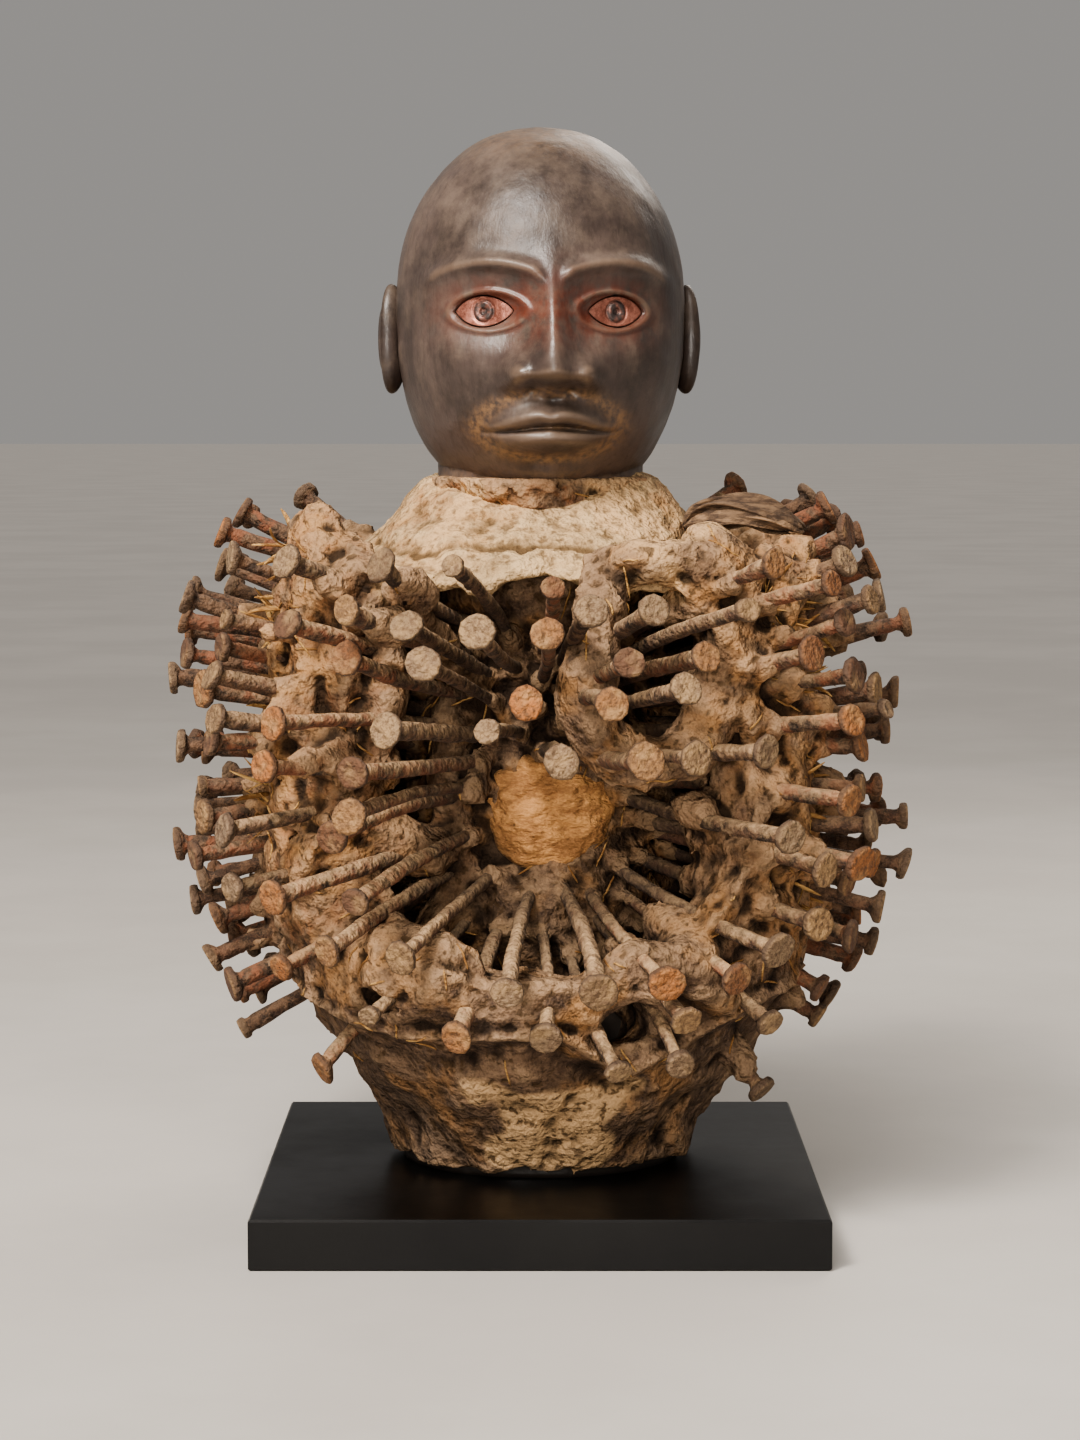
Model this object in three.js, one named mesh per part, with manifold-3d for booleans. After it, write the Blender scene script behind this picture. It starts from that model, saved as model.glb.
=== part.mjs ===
// A nkisi nkondi figure: a carved wooden head, trunk and flared foot, wrapped in a cage of dried clay and
// bristling with iron nails, on a square black plinth. Millimetres, +Z up, origin at the centre of the plinth's
// underside.
// The figure faces -Y. A bearing is an angle about the figure's axis, 0 at the front and growing towards +X.
import * as THREE from "three";
import { mergeVertices } from "three/addons/utils/BufferGeometryUtils.js";
import Module from "manifold-3d";

const wasm = await Module();
wasm.setup();

// Plinth
const plinthWidth = 190;
const plinthThickness = 17;
const plinthEdge = 0.8;

// Place of the figure on the plinth
const figureHeight = 360;
const figureSetBack = 8;
const clearance = 0.3;

// Head, with its height from chin to crown
const headHeight = 130;
const headHalfWidth = 50;
const headHalfDepth = 58;
const headTurn = 4;
const jawFullness = 2.5;
const crownFullness = 2.1;
const earHeight = 38;
const earDepth = 17;
const earThickness = 11;
const earLine = 0.44;
const earTurn = 20;

// Face: laid out at a head height of facePlan and scaled with the head. Its lines are shares of the head's
// height.
const facePlan = 130;
const eyeLine = 0.5;
const browLine = 0.575;
const noseLine = 0.3;
const mouthLine = 0.2;
const eyeOffset = 21;
const eyeWidth = 22;
const eyeHeight = 11;
const eyeSlant = 26;
const eyeFloor = 0.78;
const eyePlateThickness = 1.6;
const eyePlateBulge = 1.2;
const browArch = 6.5;
const browReach = 3.2;
const browRoll = 3;
const browEnd = 38;
const noseTipReach = 13.5;
const noseRootReach = 4;
const noseTipWidth = 10;
const noseRootWidth = 6;
const upperLip = { reach: 5.8, halfWidth: 23, rise: 3.9, roll: 3.3 };
const lowerLip = { reach: 6.4, halfWidth: 21, rise: -4.2, roll: 3.6 };

// Soft forms of the face: reach, distance out from the middle, height above the chin, width and height of each
const softForms = [
  { reach: -5, out: eyeOffset, up: 64.5, wide: 15.5, tall: 8.5 },
  { reach: 7, out: 12, up: 44, wide: 4.4, tall: 5.2 },
  { reach: 3.2, out: 0, up: 26, wide: 22, tall: 14 },
  { reach: -1.8, out: 0, up: 15, wide: 13, tall: 3.4 },
  { reach: 4.2, out: 0, up: 7.5, wide: 14, tall: 7.5 },
  { reach: 2.2, out: 31, up: 50, wide: 11, tall: 10 },
  { reach: -1.6, out: 44, up: 83, wide: 8, tall: 12 },
];

// Wooden body under the head: neck, trunk and foot
const neckRadius = 36;
const trunkRadius = 38;
const trunkBottom = 72;
const footRadius = 49;
const footFlareRadius = 64;
const footFlareHeight = 46;
const footDepthShare = 0.88;

// Belly charge
const bellyWidth = 46;
const bellyTall = 40;
const bellyHeight = 126;
const bellyBearing = 5;
const bellyThickness = 6;

// Clay crust
const crustRadius = 95;
const crustWall = 19;
const crustTop = 209;
const crustFootRadius = 52;
const crustFootHeight = 5;
const collarTop = 239;
const collarFrontDip = 10;
const collarRim = 205;
const collarRadius = 68;
const collarThickness = 9;
const windowTall = 142;
const windowHeight = 146;
const windowSpread = 47;

// Openings in the wall of clay: bearing, height, half spread in degrees, half height and number of sides
const openings = [
  [0, windowHeight, windowSpread, 0.5 * windowTall, 18],
  [20, 61, 8, 10, 8],
  [-33, 67, 6, 5, 6],
  [-62, 124, 7, 10, 7],
  [-68, 178, 6, 9, 6],
  [66, 150, 7, 15, 6],
  [110, 120, 9, 18, 7],
  [152, 160, 11, 17, 7],
  [190, 104, 11, 15, 7],
  [238, 146, 11, 18, 7],
];

// Lumps on the clay: bearing, height, spread in degrees, half height and reach
const clayLumps = [
  [-30, 70, 13, 11, 6],
  [46, 64, 15, 13, 6],
  [-50, 104, 12, 18, 4],
  [-66, 205, 14, 16, 3],
  [57, 190, 12, 20, 3],
];

// Straps of clay that run free of the wall: stations of radius, bearing and height, then radius and steps
const straps = [
  [
    [[62, 18, 208], [73, 13, 186], [72, 11, 162], [74, 21, 148], [80, 35, 150], [85, 42, 172], [84, 49, 200]],
    7,
    9,
  ],
  [[[41, -40, 150], [42, -36, 122], [46, -38, 92], [78, -42, 64]], 7, 5],
  [[[86, -54, 120], [70, -48, 116], [56, -42, 112]], 8, 3],
];

// Fibre bundle on the right shoulder
const bundleStations = [[60, 60, 221], [74, 66, 226], [92, 76, 221]];
const bundleRadius = 6.5;

// Nails
const shankDiameter = 6;
const nailHeadDiameter = 12.5;
const nailHeadThickness = 2.6;
const nailReach = 126;
const freeShare = 0.8;
const nailSides = 5;
const boundNailSides = 4;
const nailSpread = 0.6;
const nailSpreadHeight = 140;
const nailSpacing = nailHeadDiameter + 1.5;
const rootSpacing = shankDiameter + 3;

// The nails that the front shows, one line for each height of their heads above the plinth: the height, then the
// bearings in degrees. The last two stand behind the shoulders.
const frontRows = [
  [232, [106]],
  [221, [70]],
  [213, [-68, -47, -27, -14, 40, 66]],
  [206, [2, 50]],
  [199, [-77, -29, 8, 18, 31, 68]],
  [193, [-61, -44, -21, -9, 1, 54]],
  [183, [-66, -32, -18, 13, 26, 49]],
  [175, [-58, 22]],
  [170, [-2, 10]],
  [161, [-43, -23, -8, 52, 66]],
  [152, [-62, 3, 15, 23, 38]],
  [146, [-84, -48, -28, 67]],
  [134, [-28, 53, 67]],
  [124, [-72, -35, 41, 68]],
  [112, [-83, -68, 48, 69]],
  [104, [-43, -30, -56, 64]],
  [93, [50, 72]],
  [86, [-81, -37, -23, 40, 60]],
  [77, [-51, -5, 9, 22, 36]],
  [65, [-73, -31, 67]],
  [59, [-15, 1, 46]],
  [48, [14, 27]],
  [41, [-50]],
  [31, [58]],
  [233, [132]],
  [229, [-122]],
];

// How far out the heads stand at each height, as shares of the nails' reach
const reachProfile = [
  [25, 0.7],
  [45, 0.8],
  [70, 0.9],
  [100, 0.985],
  [140, 1],
  [180, 1],
  [205, 0.985],
  [220, 0.9],
  [235, 0.78],
];

// The nails of the back stand in even rows, each turned by half a step from the one below.
const backRowCount = 7;
const backRowLowest = 66;
const backRowHighest = 224;
const backRowNails = 6;
const backStart = 96;
const backEnd = 258;

// Numbers of sides and rows of the faceted surfaces
const headColumns = 30;
const headRings = 22;
const bodyColumns = 16;
const crustColumns = 24;
const collarColumns = 20;

const degrees = Math.PI / 180;
const chinHeight = figureHeight - headHeight;
const faceScale = headHeight / facePlan;

// Smooth step from 0 at low to 1 at high
function ramp(low, high, value) {
  return THREE.MathUtils.smoothstep(value, low, high);
}

// A bell of height 1 at zero that fades over the given width
function bell(distance, width) {
  return Math.exp(-((distance / width) ** 2));
}

// The point at a radius, bearing and height about the figure's axis
function polar(radius, bearing, height) {
  return new THREE.Vector3(radius * Math.sin(bearing), -radius * Math.cos(bearing), height);
}

// The value at one position between pairs of position and value, joined by straight lines
function alongProfile(pairs, position) {
  if (position <= pairs[0][0]) return pairs[0][1];
  for (let i = 1; i < pairs.length; i++) {
    const [end, value] = pairs[i];
    const [start, before] = pairs[i - 1];
    if (position <= end) return before + ((value - before) * (position - start)) / (end - start);
  }
  return pairs[pairs.length - 1][1];
}

// A closed geometry as a solid that can be joined and cut
function solidOf(geometry) {
  const bare = new THREE.BufferGeometry();
  bare.setAttribute("position", geometry.getAttribute("position"));
  bare.setIndex(geometry.index);
  const merged = mergeVertices(bare, 1e-4);
  return new wasm.Manifold(
    new wasm.Mesh({
      numProp: 3,
      vertProperties: merged.attributes.position.array,
      triVerts: new Uint32Array(merged.index.array),
    }),
  );
}

// A solid back as a mesh with its name and material
function meshOf(name, solid, material) {
  const { vertProperties, triVerts } = solid.getMesh();
  const geometry = new THREE.BufferGeometry();
  geometry.setAttribute("position", new THREE.BufferAttribute(vertProperties, 3));
  geometry.setIndex(new THREE.BufferAttribute(triVerts, 1));
  geometry.computeVertexNormals();
  const mesh = new THREE.Mesh(geometry, material);
  mesh.name = name;
  return mesh;
}

// A sphere or torus geometry whose points are moved to place(turn, rise), with turn and rise from 0 to 1
function shaped(geometry, place) {
  const position = geometry.getAttribute("position");
  const uv = geometry.getAttribute("uv");
  for (let i = 0; i < position.count; i++) {
    const point = place(uv.getX(i), uv.getY(i));
    position.setXYZ(i, point.x, point.y, point.z);
  }
  return geometry;
}

// A prism of the flat outline, from depth z = 0 up to the given length
function prism(outline, length) {
  const settings = { depth: length, bevelEnabled: false, steps: 1 };
  return new THREE.ExtrudeGeometry(new THREE.Shape(outline), settings);
}

// Height of the carved relief of the face, forward of the egg of the head, in the face's own plan.
// side is the distance from the middle of the face, up is the height above the chin.
function faceRelief(side, up) {
  const across = Math.abs(side);
  const browMiddle = 0.5 * (noseRootWidth + browEnd);
  const archHeight = browLine * facePlan + browArch * (1 - ((across - browMiddle) / browMiddle) ** 2);
  const browSpan = ramp(1, 7, across) * (1 - ramp(browEnd, browEnd + 7, across));
  const brow = browReach * bell(up - archHeight, browRoll) * browSpan;
  const alongNose = (up / facePlan - noseLine) / (browLine - noseLine);
  const noseReach = THREE.MathUtils.lerp(noseTipReach, noseRootReach, ramp(0.16, 1, alongNose));
  const noseWidth = THREE.MathUtils.lerp(noseTipWidth, noseRootWidth, ramp(0.1, 0.7, alongNose));
  const noseEnds = ramp(-0.1, 0.17, alongNose) * (1 - ramp(0.95, 1.4, alongNose));
  const nose = noseReach * noseEnds * bell(side, noseWidth);
  let relief = brow + nose;
  for (const lip of [upperLip, lowerLip]) {
    const span = Math.max(0, 1 - (side / lip.halfWidth) ** 2);
    relief += lip.reach * span * bell(up - mouthLine * facePlan - lip.rise * Math.sqrt(span), lip.roll);
  }
  for (const { reach, out, up: height, wide, tall } of softForms) {
    relief += reach * bell(across - out, wide) * bell(up - height, tall);
  }
  return relief;
}

// The head as an egg in horizontal slices, fuller at the jaw than at the crown, grown all round by the given
// margin
function headSolid(margin) {
  const middle = 0.53;
  const crownStart = 0.64;
  const evenShare = 0.42;
  const grow = 1 + margin / headHalfWidth;
  const place = (turn, rise) => {
    const toCrown = (rise - crownStart) / (1 - crownStart);
    const crownShare = crownStart + (1 - crownStart) * Math.sin(0.5 * Math.PI * toCrown);
    const share = rise < crownStart ? rise : crownShare;
    const fullness = share < middle ? jawFullness : crownFullness;
    const fromMiddle = Math.min(1, share < middle ? 1 - share / middle : (share - middle) / (1 - middle));
    const slice = (1 - fromMiddle ** fullness) ** (1 / fullness);
    const spread = 2 * turn - 1;
    const bearing = Math.PI * (evenShare * spread + (1 - evenShare) * spread ** 3);
    const side = headHalfWidth * slice * Math.sin(bearing);
    const forward = headHalfDepth * slice * Math.cos(bearing);
    const front = ramp(0.12, 0.5, Math.cos(bearing)) * ramp(0.02, 0.2, slice);
    const reach = forward + front * faceScale * faceRelief(side / faceScale, share * facePlan);
    const up = headHeight * (middle + (share - middle) * grow);
    return new THREE.Vector3(side * grow, -reach * grow, chinHeight + up);
  };
  return solidOf(turnedWithHead(shaped(new THREE.SphereGeometry(1, headColumns, headRings), place)));
}

// Turns a geometry with the head, about the figure's axis
function turnedWithHead(geometry) {
  return geometry.rotateZ(headTurn * degrees);
}

// One ear on side -1 or +1: a carved shell between the brow and the base of the nose, hollowed in front
function earSolid(side) {
  const place = (geometry, outward, forward) => {
    geometry.rotateZ(side * earTurn * degrees);
    geometry.translate(side * (headHalfWidth + outward), -forward, chinHeight + earLine * headHeight);
    return solidOf(turnedWithHead(geometry));
  };
  const shell = new THREE.SphereGeometry(0.5, 10, 7).scale(earThickness, earDepth, earHeight);
  const hollow = new THREE.SphereGeometry(0.5, 7, 5);
  hollow.scale(0.6 * earThickness, 0.55 * earDepth, 0.62 * earHeight);
  return place(shell, 1.5, -4).subtract(place(hollow, 6, 0.5));
}

// The almond outline of an eye, shrunk all round by the given margin
function almond(margin) {
  const outline = [];
  const steps = 7;
  for (let i = 0; i < 2 * steps; i++) {
    const across = Math.cos((i / steps) * Math.PI);
    const lid = i < steps ? 1 : -1;
    const up = lid * (0.5 * eyeHeight * faceScale - margin) * (1 - across ** 2) ** 0.8;
    outline.push(new THREE.Vector2(across * (0.5 * eyeWidth * faceScale - margin), up));
  }
  return outline;
}

// Turns a geometry that is flat in X and Y to lie upright in an eye socket, facing out at the given depth
function inSocket(geometry, side, depth) {
  geometry.rotateX(90 * degrees);
  geometry.translate(0, -depth, 0);
  geometry.rotateZ(side * eyeSlant * degrees);
  const up = chinHeight + eyeLine * headHeight;
  geometry.translate(side * eyeOffset * faceScale, -eyeFloor * headHalfDepth, up);
  return turnedWithHead(geometry);
}

// The inlaid copper plate of one eye, domed towards its middle
function eyePlate(side) {
  const plate = prism(almond(clearance), eyePlateThickness);
  const position = plate.getAttribute("position");
  for (let i = 0; i < position.count; i++) {
    if (position.getZ(i) > 0) {
      const fromMiddle = (2 * position.getX(i)) / (eyeWidth * faceScale);
      position.setZ(i, eyePlateThickness + eyePlateBulge * (1 - fromMiddle ** 2));
    }
  }
  return solidOf(inSocket(plate, side, clearance));
}

// The radius of the wooden body at each height: foot, flare, trunk and neck
const bodyProfile = [
  [0, footRadius],
  [14, footRadius + 2],
  [30, 0.5 * (footRadius + footFlareRadius) + 1],
  [footFlareHeight, footFlareRadius],
  [footFlareHeight + 12, footFlareRadius - 6],
  [trunkBottom, trunkRadius + 5],
  [trunkBottom + 20, trunkRadius],
  [140, trunkRadius + 1],
  [185, trunkRadius - 1],
  [210, neckRadius + 1],
  [chinHeight + 0.15 * headHeight, neckRadius],
];

// The wooden body, grown by the given margin. Its foot is a little shallower than it is wide.
function bodySolid(margin) {
  const rings = bodyProfile.length + 1;
  const place = (turn, rise) => {
    const ring = Math.round(rise * rings);
    const [height, radius] = bodyProfile[THREE.MathUtils.clamp(ring - 1, 0, rings - 2)];
    const end = ring === 0 || ring === rings;
    const point = polar(end ? 0 : radius + margin, 2 * Math.PI * turn, height);
    point.y *= THREE.MathUtils.lerp(footDepthShare, 1, ramp(0, trunkBottom, height));
    return point;
  };
  return solidOf(shaped(new THREE.SphereGeometry(1, bodyColumns, rings), place));
}

// The ochre charge on the belly: a low cushion on the front of the trunk, grown by the given margin
function bellySolid(margin) {
  const outline = [];
  const sides = 14;
  for (let i = 0; i < sides; i++) {
    const angle = (i / sides) * 2 * Math.PI;
    const wobble = 1 + 0.04 * Math.sin(3 * angle + 1);
    const across = (0.5 * bellyWidth + margin) * Math.cos(angle) * wobble;
    outline.push(new THREE.Vector2(across, (0.5 * bellyTall + margin) * Math.sin(angle) * wobble));
  }
  const plug = prism(outline, 2 * trunkRadius).rotateX(90 * degrees);
  plug.translate(0, 0, bellyHeight).rotateZ(bellyBearing * degrees);
  const domed = new THREE.SphereGeometry(1, 24, 12).rotateX(90 * degrees);
  const reach = trunkRadius + bellyThickness + margin;
  domed.scale(reach, reach, 1.6 * bellyTall);
  domed.translate(0, 0, bellyHeight);
  return solidOf(domed).intersect(solidOf(plug));
}

// Height of the clay above its even surface, in waves and hand-laid lumps
function clayWave(bearing, height) {
  const waves = 2 * Math.sin(3 * bearing + height / 23) + 1.4 * Math.sin(7 * bearing - height / 11);
  let lumps = 0;
  for (const [lumpBearing, lumpHeight, width, tall, reach] of clayLumps) {
    const across = Math.abs(bearing - lumpBearing * degrees);
    lumps += reach * bell(across, width * degrees) * bell(height - lumpHeight, tall);
  }
  return waves + lumps;
}

// The radius of the clay's outer surface at each height: foot, cage, then the slope of the collar
const clayProfile = [
  [crustFootHeight, crustFootRadius],
  [15, crustFootRadius + 4],
  [45, crustFootRadius + 25],
  [64, crustRadius - 6],
  [92, crustRadius],
  [125, crustRadius + 1],
  [155, crustRadius + 1],
  [182, crustRadius],
  [crustTop, crustRadius - 9],
  [crustTop + 6, collarRadius],
  [collarTop, neckRadius + 5],
];

// The cage and the crust of the foot as one ring: a wall that rises from the foot, free of the trunk
function wallSolid() {
  const inner = crustRadius - crustWall;
  const below = clayProfile.filter(([height]) => height <= crustTop);
  const outside = below.map(([height, radius]) => [radius, height]);
  const section = [
    ...outside,
    [inner + 3, crustTop],
    [inner, crustTop - 15],
    [inner, 92],
    [inner - 6, 68],
    [footRadius - 6, footFlareHeight + 4],
    [footRadius - 8, crustFootHeight],
  ];
  const place = (turn, rise) => {
    const index = Math.round(rise * section.length) % section.length;
    const [radius, height] = section[index];
    const bearing = Math.PI * (2 * turn - 1);
    const rough = index < outside.length ? ramp(0, 40, height) * clayWave(bearing, height) : 0;
    const crest = 12 * bell(bearing + 1.15, 0.26) + 8 * bell(bearing - 0.95, 0.4) + 2 * Math.sin(5 * bearing);
    const lift = height > crustTop - 15 ? crest : 0;
    return polar(radius + rough, bearing, height + lift);
  };
  const ring = shaped(new THREE.TorusGeometry(1, 0.5, section.length, crustColumns), place);
  let wall = solidOf(ring);
  for (const opening of openings) wall = wall.subtract(openingSolid(...opening));
  return wall;
}

// A plug for an opening in the wall: an uneven rounded outline, carried outwards from the figure's axis
function openingSolid(bearing, height, halfSpread, halfTall, sides) {
  const outline = [];
  for (let i = 0; i < sides; i++) {
    const angle = (i / sides) * 2 * Math.PI;
    const square = 0.75;
    const across = Math.sign(Math.cos(angle)) * Math.abs(Math.cos(angle)) ** square;
    const up = Math.sign(Math.sin(angle)) * Math.abs(Math.sin(angle)) ** square;
    const wobble = 1 + 0.05 * Math.sin(3 * angle + bearing);
    outline.push(new THREE.Vector2(halfSpread * degrees * across * wobble, halfTall * up * wobble));
  }
  const inside = crustRadius - crustWall - 16;
  const outside = 2 * crustRadius;
  const plug = prism(outline, 1);
  const position = plug.getAttribute("position");
  for (let i = 0; i < position.count; i++) {
    const radius = THREE.MathUtils.lerp(inside, outside, position.getZ(i));
    const point = polar(radius, position.getX(i) + bearing * degrees, position.getY(i) + height);
    position.setXYZ(i, point.x, point.y, point.z);
  }
  return solidOf(plug);
}

// The collar of clay: a mantle that slopes from the neck to a rim over the nails, and joins the wall behind
function collarSolid() {
  const section = [
    [collarRadius - 4, collarRim - collarThickness, 1, 0],
    [collarRadius, collarRim, 1, 0],
    [collarRadius - 9, collarRim + 11, 0.8, 0.3],
    [neckRadius + 14, collarTop - 12, 0.3, 0.6],
    [neckRadius + 5, collarTop, 0, 1],
    [neckRadius - 4, collarTop, 0, 1],
    [neckRadius - 4, collarTop - 2 * collarThickness, 0, 1],
    [neckRadius + 14, collarRim, 0.5, 0],
  ];
  const place = (turn, rise) => {
    const [radius, height, share, dip] = section[Math.round(rise * section.length) % section.length];
    const bearing = Math.PI * (2 * turn - 1);
    const behind = 18 * ramp(70, 105, Math.abs(bearing) / degrees);
    const shoulder = 17 * bell(bearing - 0.95, 0.3);
    const rough = 1.6 * Math.sin(5 * bearing + height) + 1.2 * Math.sin(8 * bearing);
    const lowered = height - dip * collarFrontDip * bell(bearing, 1);
    return polar(radius + share * (behind + shoulder + rough), bearing, lowered + 0.4 * share * rough);
  };
  return solidOf(shaped(new THREE.TorusGeometry(1, 0.5, section.length, collarColumns), place));
}

// A rough strap of clay through stations of radius, bearing and height
function strapSolid(stations, radius, steps) {
  const outline = [];
  const sides = 6;
  for (let i = 0; i < sides; i++) {
    const angle = (i / sides) * 2 * Math.PI;
    const reach = radius * (1 + 0.15 * Math.cos(2 * angle + 1));
    outline.push(new THREE.Vector2(reach * Math.cos(angle), reach * Math.sin(angle)));
  }
  const points = stations.map(([out, bearing, height]) => polar(out, bearing * degrees, height));
  const extrudePath = new THREE.CatmullRomCurve3(points);
  const settings = { steps, extrudePath, bevelEnabled: false };
  return solidOf(new THREE.ExtrudeGeometry(new THREE.Shape(outline), settings));
}

// Even numbers between 0 and 1 that look random and come out the same every time
let seed = 1897;
function nextShare() {
  seed = (seed * 16807) % 2147483647;
  return seed / 2147483647;
}

// Every nail with the bearing and height of its head and of its root on the trunk
function nailPlaces() {
  const places = [];
  const addNail = (bearing, height, drift) => {
    const headBearing = (bearing + drift * (nextShare() - 0.5)) * degrees;
    const headHeight = height + drift * (nextShare() - 0.5);
    const lowered = nailSpreadHeight + nailSpread * (headHeight - nailSpreadHeight);
    const rootBearing = headBearing + 0.12 * (nextShare() - 0.5);
    const rootHeight = Math.max(trunkBottom + 8, lowered) + 3 * (nextShare() - 0.5);
    const reach = nailReach * alongProfile(reachProfile, headHeight) * (1 + 0.1 * (nextShare() - 0.6));
    const size = nailHeadDiameter * (1 - 0.2 * nextShare() ** 2);
    places.push({ headBearing, headHeight, rootBearing, rootHeight, reach, size });
  };
  for (const [height, bearings] of frontRows) {
    for (const bearing of bearings) addNail(bearing, height, 0);
  }
  for (let row = 0; row < backRowCount; row++) {
    const height = THREE.MathUtils.lerp(backRowLowest, backRowHighest, row / (backRowCount - 1));
    for (let i = 0; i < backRowNails; i++) {
      const step = (backEnd - backStart) / backRowNails;
      addNail(backStart + step * (i + (row % 2 ? 0.75 : 0.25)), height, 8);
    }
  }
  pushApart(places, "headBearing", "headHeight", nailReach, nailSpacing);
  pushApart(places, "rootBearing", "rootHeight", trunkRadius, rootSpacing);
  return places;
}

// Moves neighbours apart over a round surface of the given radius until each pair keeps the spacing
function pushApart(places, bearingName, heightName, radius, spacing) {
  const passes = 60;
  for (let pass = 0; pass < passes; pass++) {
    for (let i = 0; i < places.length; i++) {
      for (let k = i + 1; k < places.length; k++) {
        const [a, b] = [places[i], places[k]];
        const turn = b[bearingName] - a[bearingName];
        const across = radius * Math.atan2(Math.sin(turn), Math.cos(turn));
        const up = b[heightName] - a[heightName];
        const apart = Math.hypot(across, up);
        if (apart < spacing) {
          const push = (0.5 * (spacing - apart)) / Math.max(apart, 0.1);
          a[bearingName] -= (push * across) / radius;
          b[bearingName] += (push * across) / radius;
          a[heightName] -= push * up;
          b[heightName] += push * up;
        }
      }
    }
  }
}

// Where a nail enters the wood, and where the top of its head is
function nailEnds(nail) {
  const root = polar(alongProfile(bodyProfile, nail.rootHeight), nail.rootBearing, nail.rootHeight);
  const top = polar(nail.reach, nail.headBearing, nail.headHeight);
  return { root, top };
}

// A nail along its own axis, from the given start to its flat head, grown by the given margin. A nail that is
// fused with the clay has fewer sides than one of its own.
function nailSolid(nail, start, margin, sides) {
  const { root, top } = nailEnds(nail);
  const direction = top.clone().sub(root).normalize();
  const length = top.distanceTo(start) + margin;
  const shank = 0.5 * shankDiameter + margin;
  const rim = 0.5 * nail.size + margin;
  const profile = [
    new THREE.Vector2(0, 0),
    new THREE.Vector2(shank, 0),
    new THREE.Vector2(shank, length - nailHeadThickness - 2 * margin),
    new THREE.Vector2(rim, length - 0.5 * nailHeadThickness),
    new THREE.Vector2(0, length),
  ];
  const geometry = new THREE.LatheGeometry(profile, sides);
  geometry.applyQuaternion(new THREE.Quaternion().setFromUnitVectors(new THREE.Vector3(0, 1, 0), direction));
  geometry.translate(start.x, start.y, start.z);
  return solidOf(geometry);
}

// The first point of a nail that lies well inside the thickness of the clay
function buriedPoint(nail) {
  const { root, top } = nailEnds(nail);
  const point = root.clone();
  for (let share = 0; share < 1; share += 0.01) {
    point.lerpVectors(root, top, share);
    if (Math.hypot(point.x, point.y) > alongProfile(clayProfile, point.z) - 0.7 * crustWall) break;
  }
  return point;
}

// Whether a nail passes through an opening, clear of the clay
function passesFreely(nail) {
  const point = buriedPoint(nail);
  const bearing = Math.atan2(point.x, -point.y) / degrees;
  return openings.some(([middle, height, halfSpread, halfTall]) => {
    const turn = ((bearing - middle + 540) % 360) - 180;
    const across = Math.abs(turn) / halfSpread;
    const up = Math.abs(point.z - height) / halfTall;
    return across ** 2.7 + up ** 2.7 < freeShare;
  });
}

// The main body of a solid, without the chips that a cut has left loose beside it
function mainBody(solid) {
  return solid.decompose().reduce((largest, body) => (body.volume() > largest.volume() ? body : largest));
}

// The square slab of the plinth with broken edges
function plinthSolid() {
  const half = 0.5 * plinthWidth - plinthEdge;
  const outline = [
    new THREE.Vector2(-half, -half),
    new THREE.Vector2(half, -half),
    new THREE.Vector2(half, half),
    new THREE.Vector2(-half, half),
  ];
  const slab = new THREE.ExtrudeGeometry(new THREE.Shape(outline), {
    depth: plinthThickness - 2 * plinthEdge,
    bevelThickness: plinthEdge,
    bevelSize: plinthEdge,
    bevelSegments: 1,
    steps: 1,
  });
  return solidOf(slab.translate(0, 0, plinthEdge));
}

const wood = new THREE.MeshStandardMaterial({ color: 0x5c4d45, roughness: 0.6, metalness: 0 });
const clay = new THREE.MeshStandardMaterial({ color: 0xb8a07a, roughness: 0.95, metalness: 0 });
const resin = new THREE.MeshStandardMaterial({ color: 0xb67a35, roughness: 0.7, metalness: 0 });
const copper = new THREE.MeshStandardMaterial({ color: 0xb5705a, roughness: 0.45, metalness: 0.6 });
const iron = new THREE.MeshStandardMaterial({ color: 0x7d6654, roughness: 0.8, metalness: 0.3 });
const fibre = new THREE.MeshStandardMaterial({ color: 0x5a4634, roughness: 0.95, metalness: 0 });
const blackMetal = new THREE.MeshStandardMaterial({ color: 0x1c1c1c, roughness: 0.4, metalness: 0.5 });

const nails = nailPlaces();
const freeNails = nails.filter((nail) => passesFreely(nail));
const boundNails = nails.filter((nail) => !passesFreely(nail));

let carved = bodySolid(0).add(headSolid(0)).add(earSolid(-1)).add(earSolid(1));
for (const side of [-1, 1]) {
  const pocket = inSocket(prism(almond(0), headHalfWidth), side, 0);
  carved = carved.subtract(solidOf(pocket));
}

let crust = wallSolid().add(collarSolid());
for (const [stations, radius, steps] of straps) crust = crust.add(strapSolid(stations, radius, steps));
for (const nail of boundNails) crust = crust.add(nailSolid(nail, buriedPoint(nail), 0, boundNailSides));
const bundle = strapSolid(bundleStations, bundleRadius, 4);
crust = crust.subtract(bodySolid(clearance)).subtract(headSolid(clearance));
crust = crust.subtract(strapSolid(bundleStations, bundleRadius + clearance, 4));
crust = crust.subtract(bellySolid(clearance));
let belly = bellySolid(0).subtract(bodySolid(clearance));
for (const nail of freeNails) {
  const passage = nailSolid(nail, nailEnds(nail).root, clearance, nailSides);
  crust = crust.subtract(passage);
  belly = belly.subtract(passage);
}
crust = mainBody(crust);

const figure = new THREE.Group();
figure.position.set(0, figureSetBack, plinthThickness);
figure.add(meshOf("carved_figure", carved, wood));
figure.add(meshOf("eye_inlay_left", eyePlate(1), copper));
figure.add(meshOf("eye_inlay_right", eyePlate(-1), copper));
figure.add(meshOf("belly_charge", belly, resin));
figure.add(meshOf("clay_crust", crust, clay));
figure.add(meshOf("fibre_bundle", bundle, fibre));
freeNails.forEach((nail, i) => {
  const name = "nail_" + String(i + 1).padStart(2, "0");
  const whole = nailSolid(nail, nailEnds(nail).root, 0, nailSides);
  figure.add(meshOf(name, whole.subtract(bodySolid(clearance)), iron));
});

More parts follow.
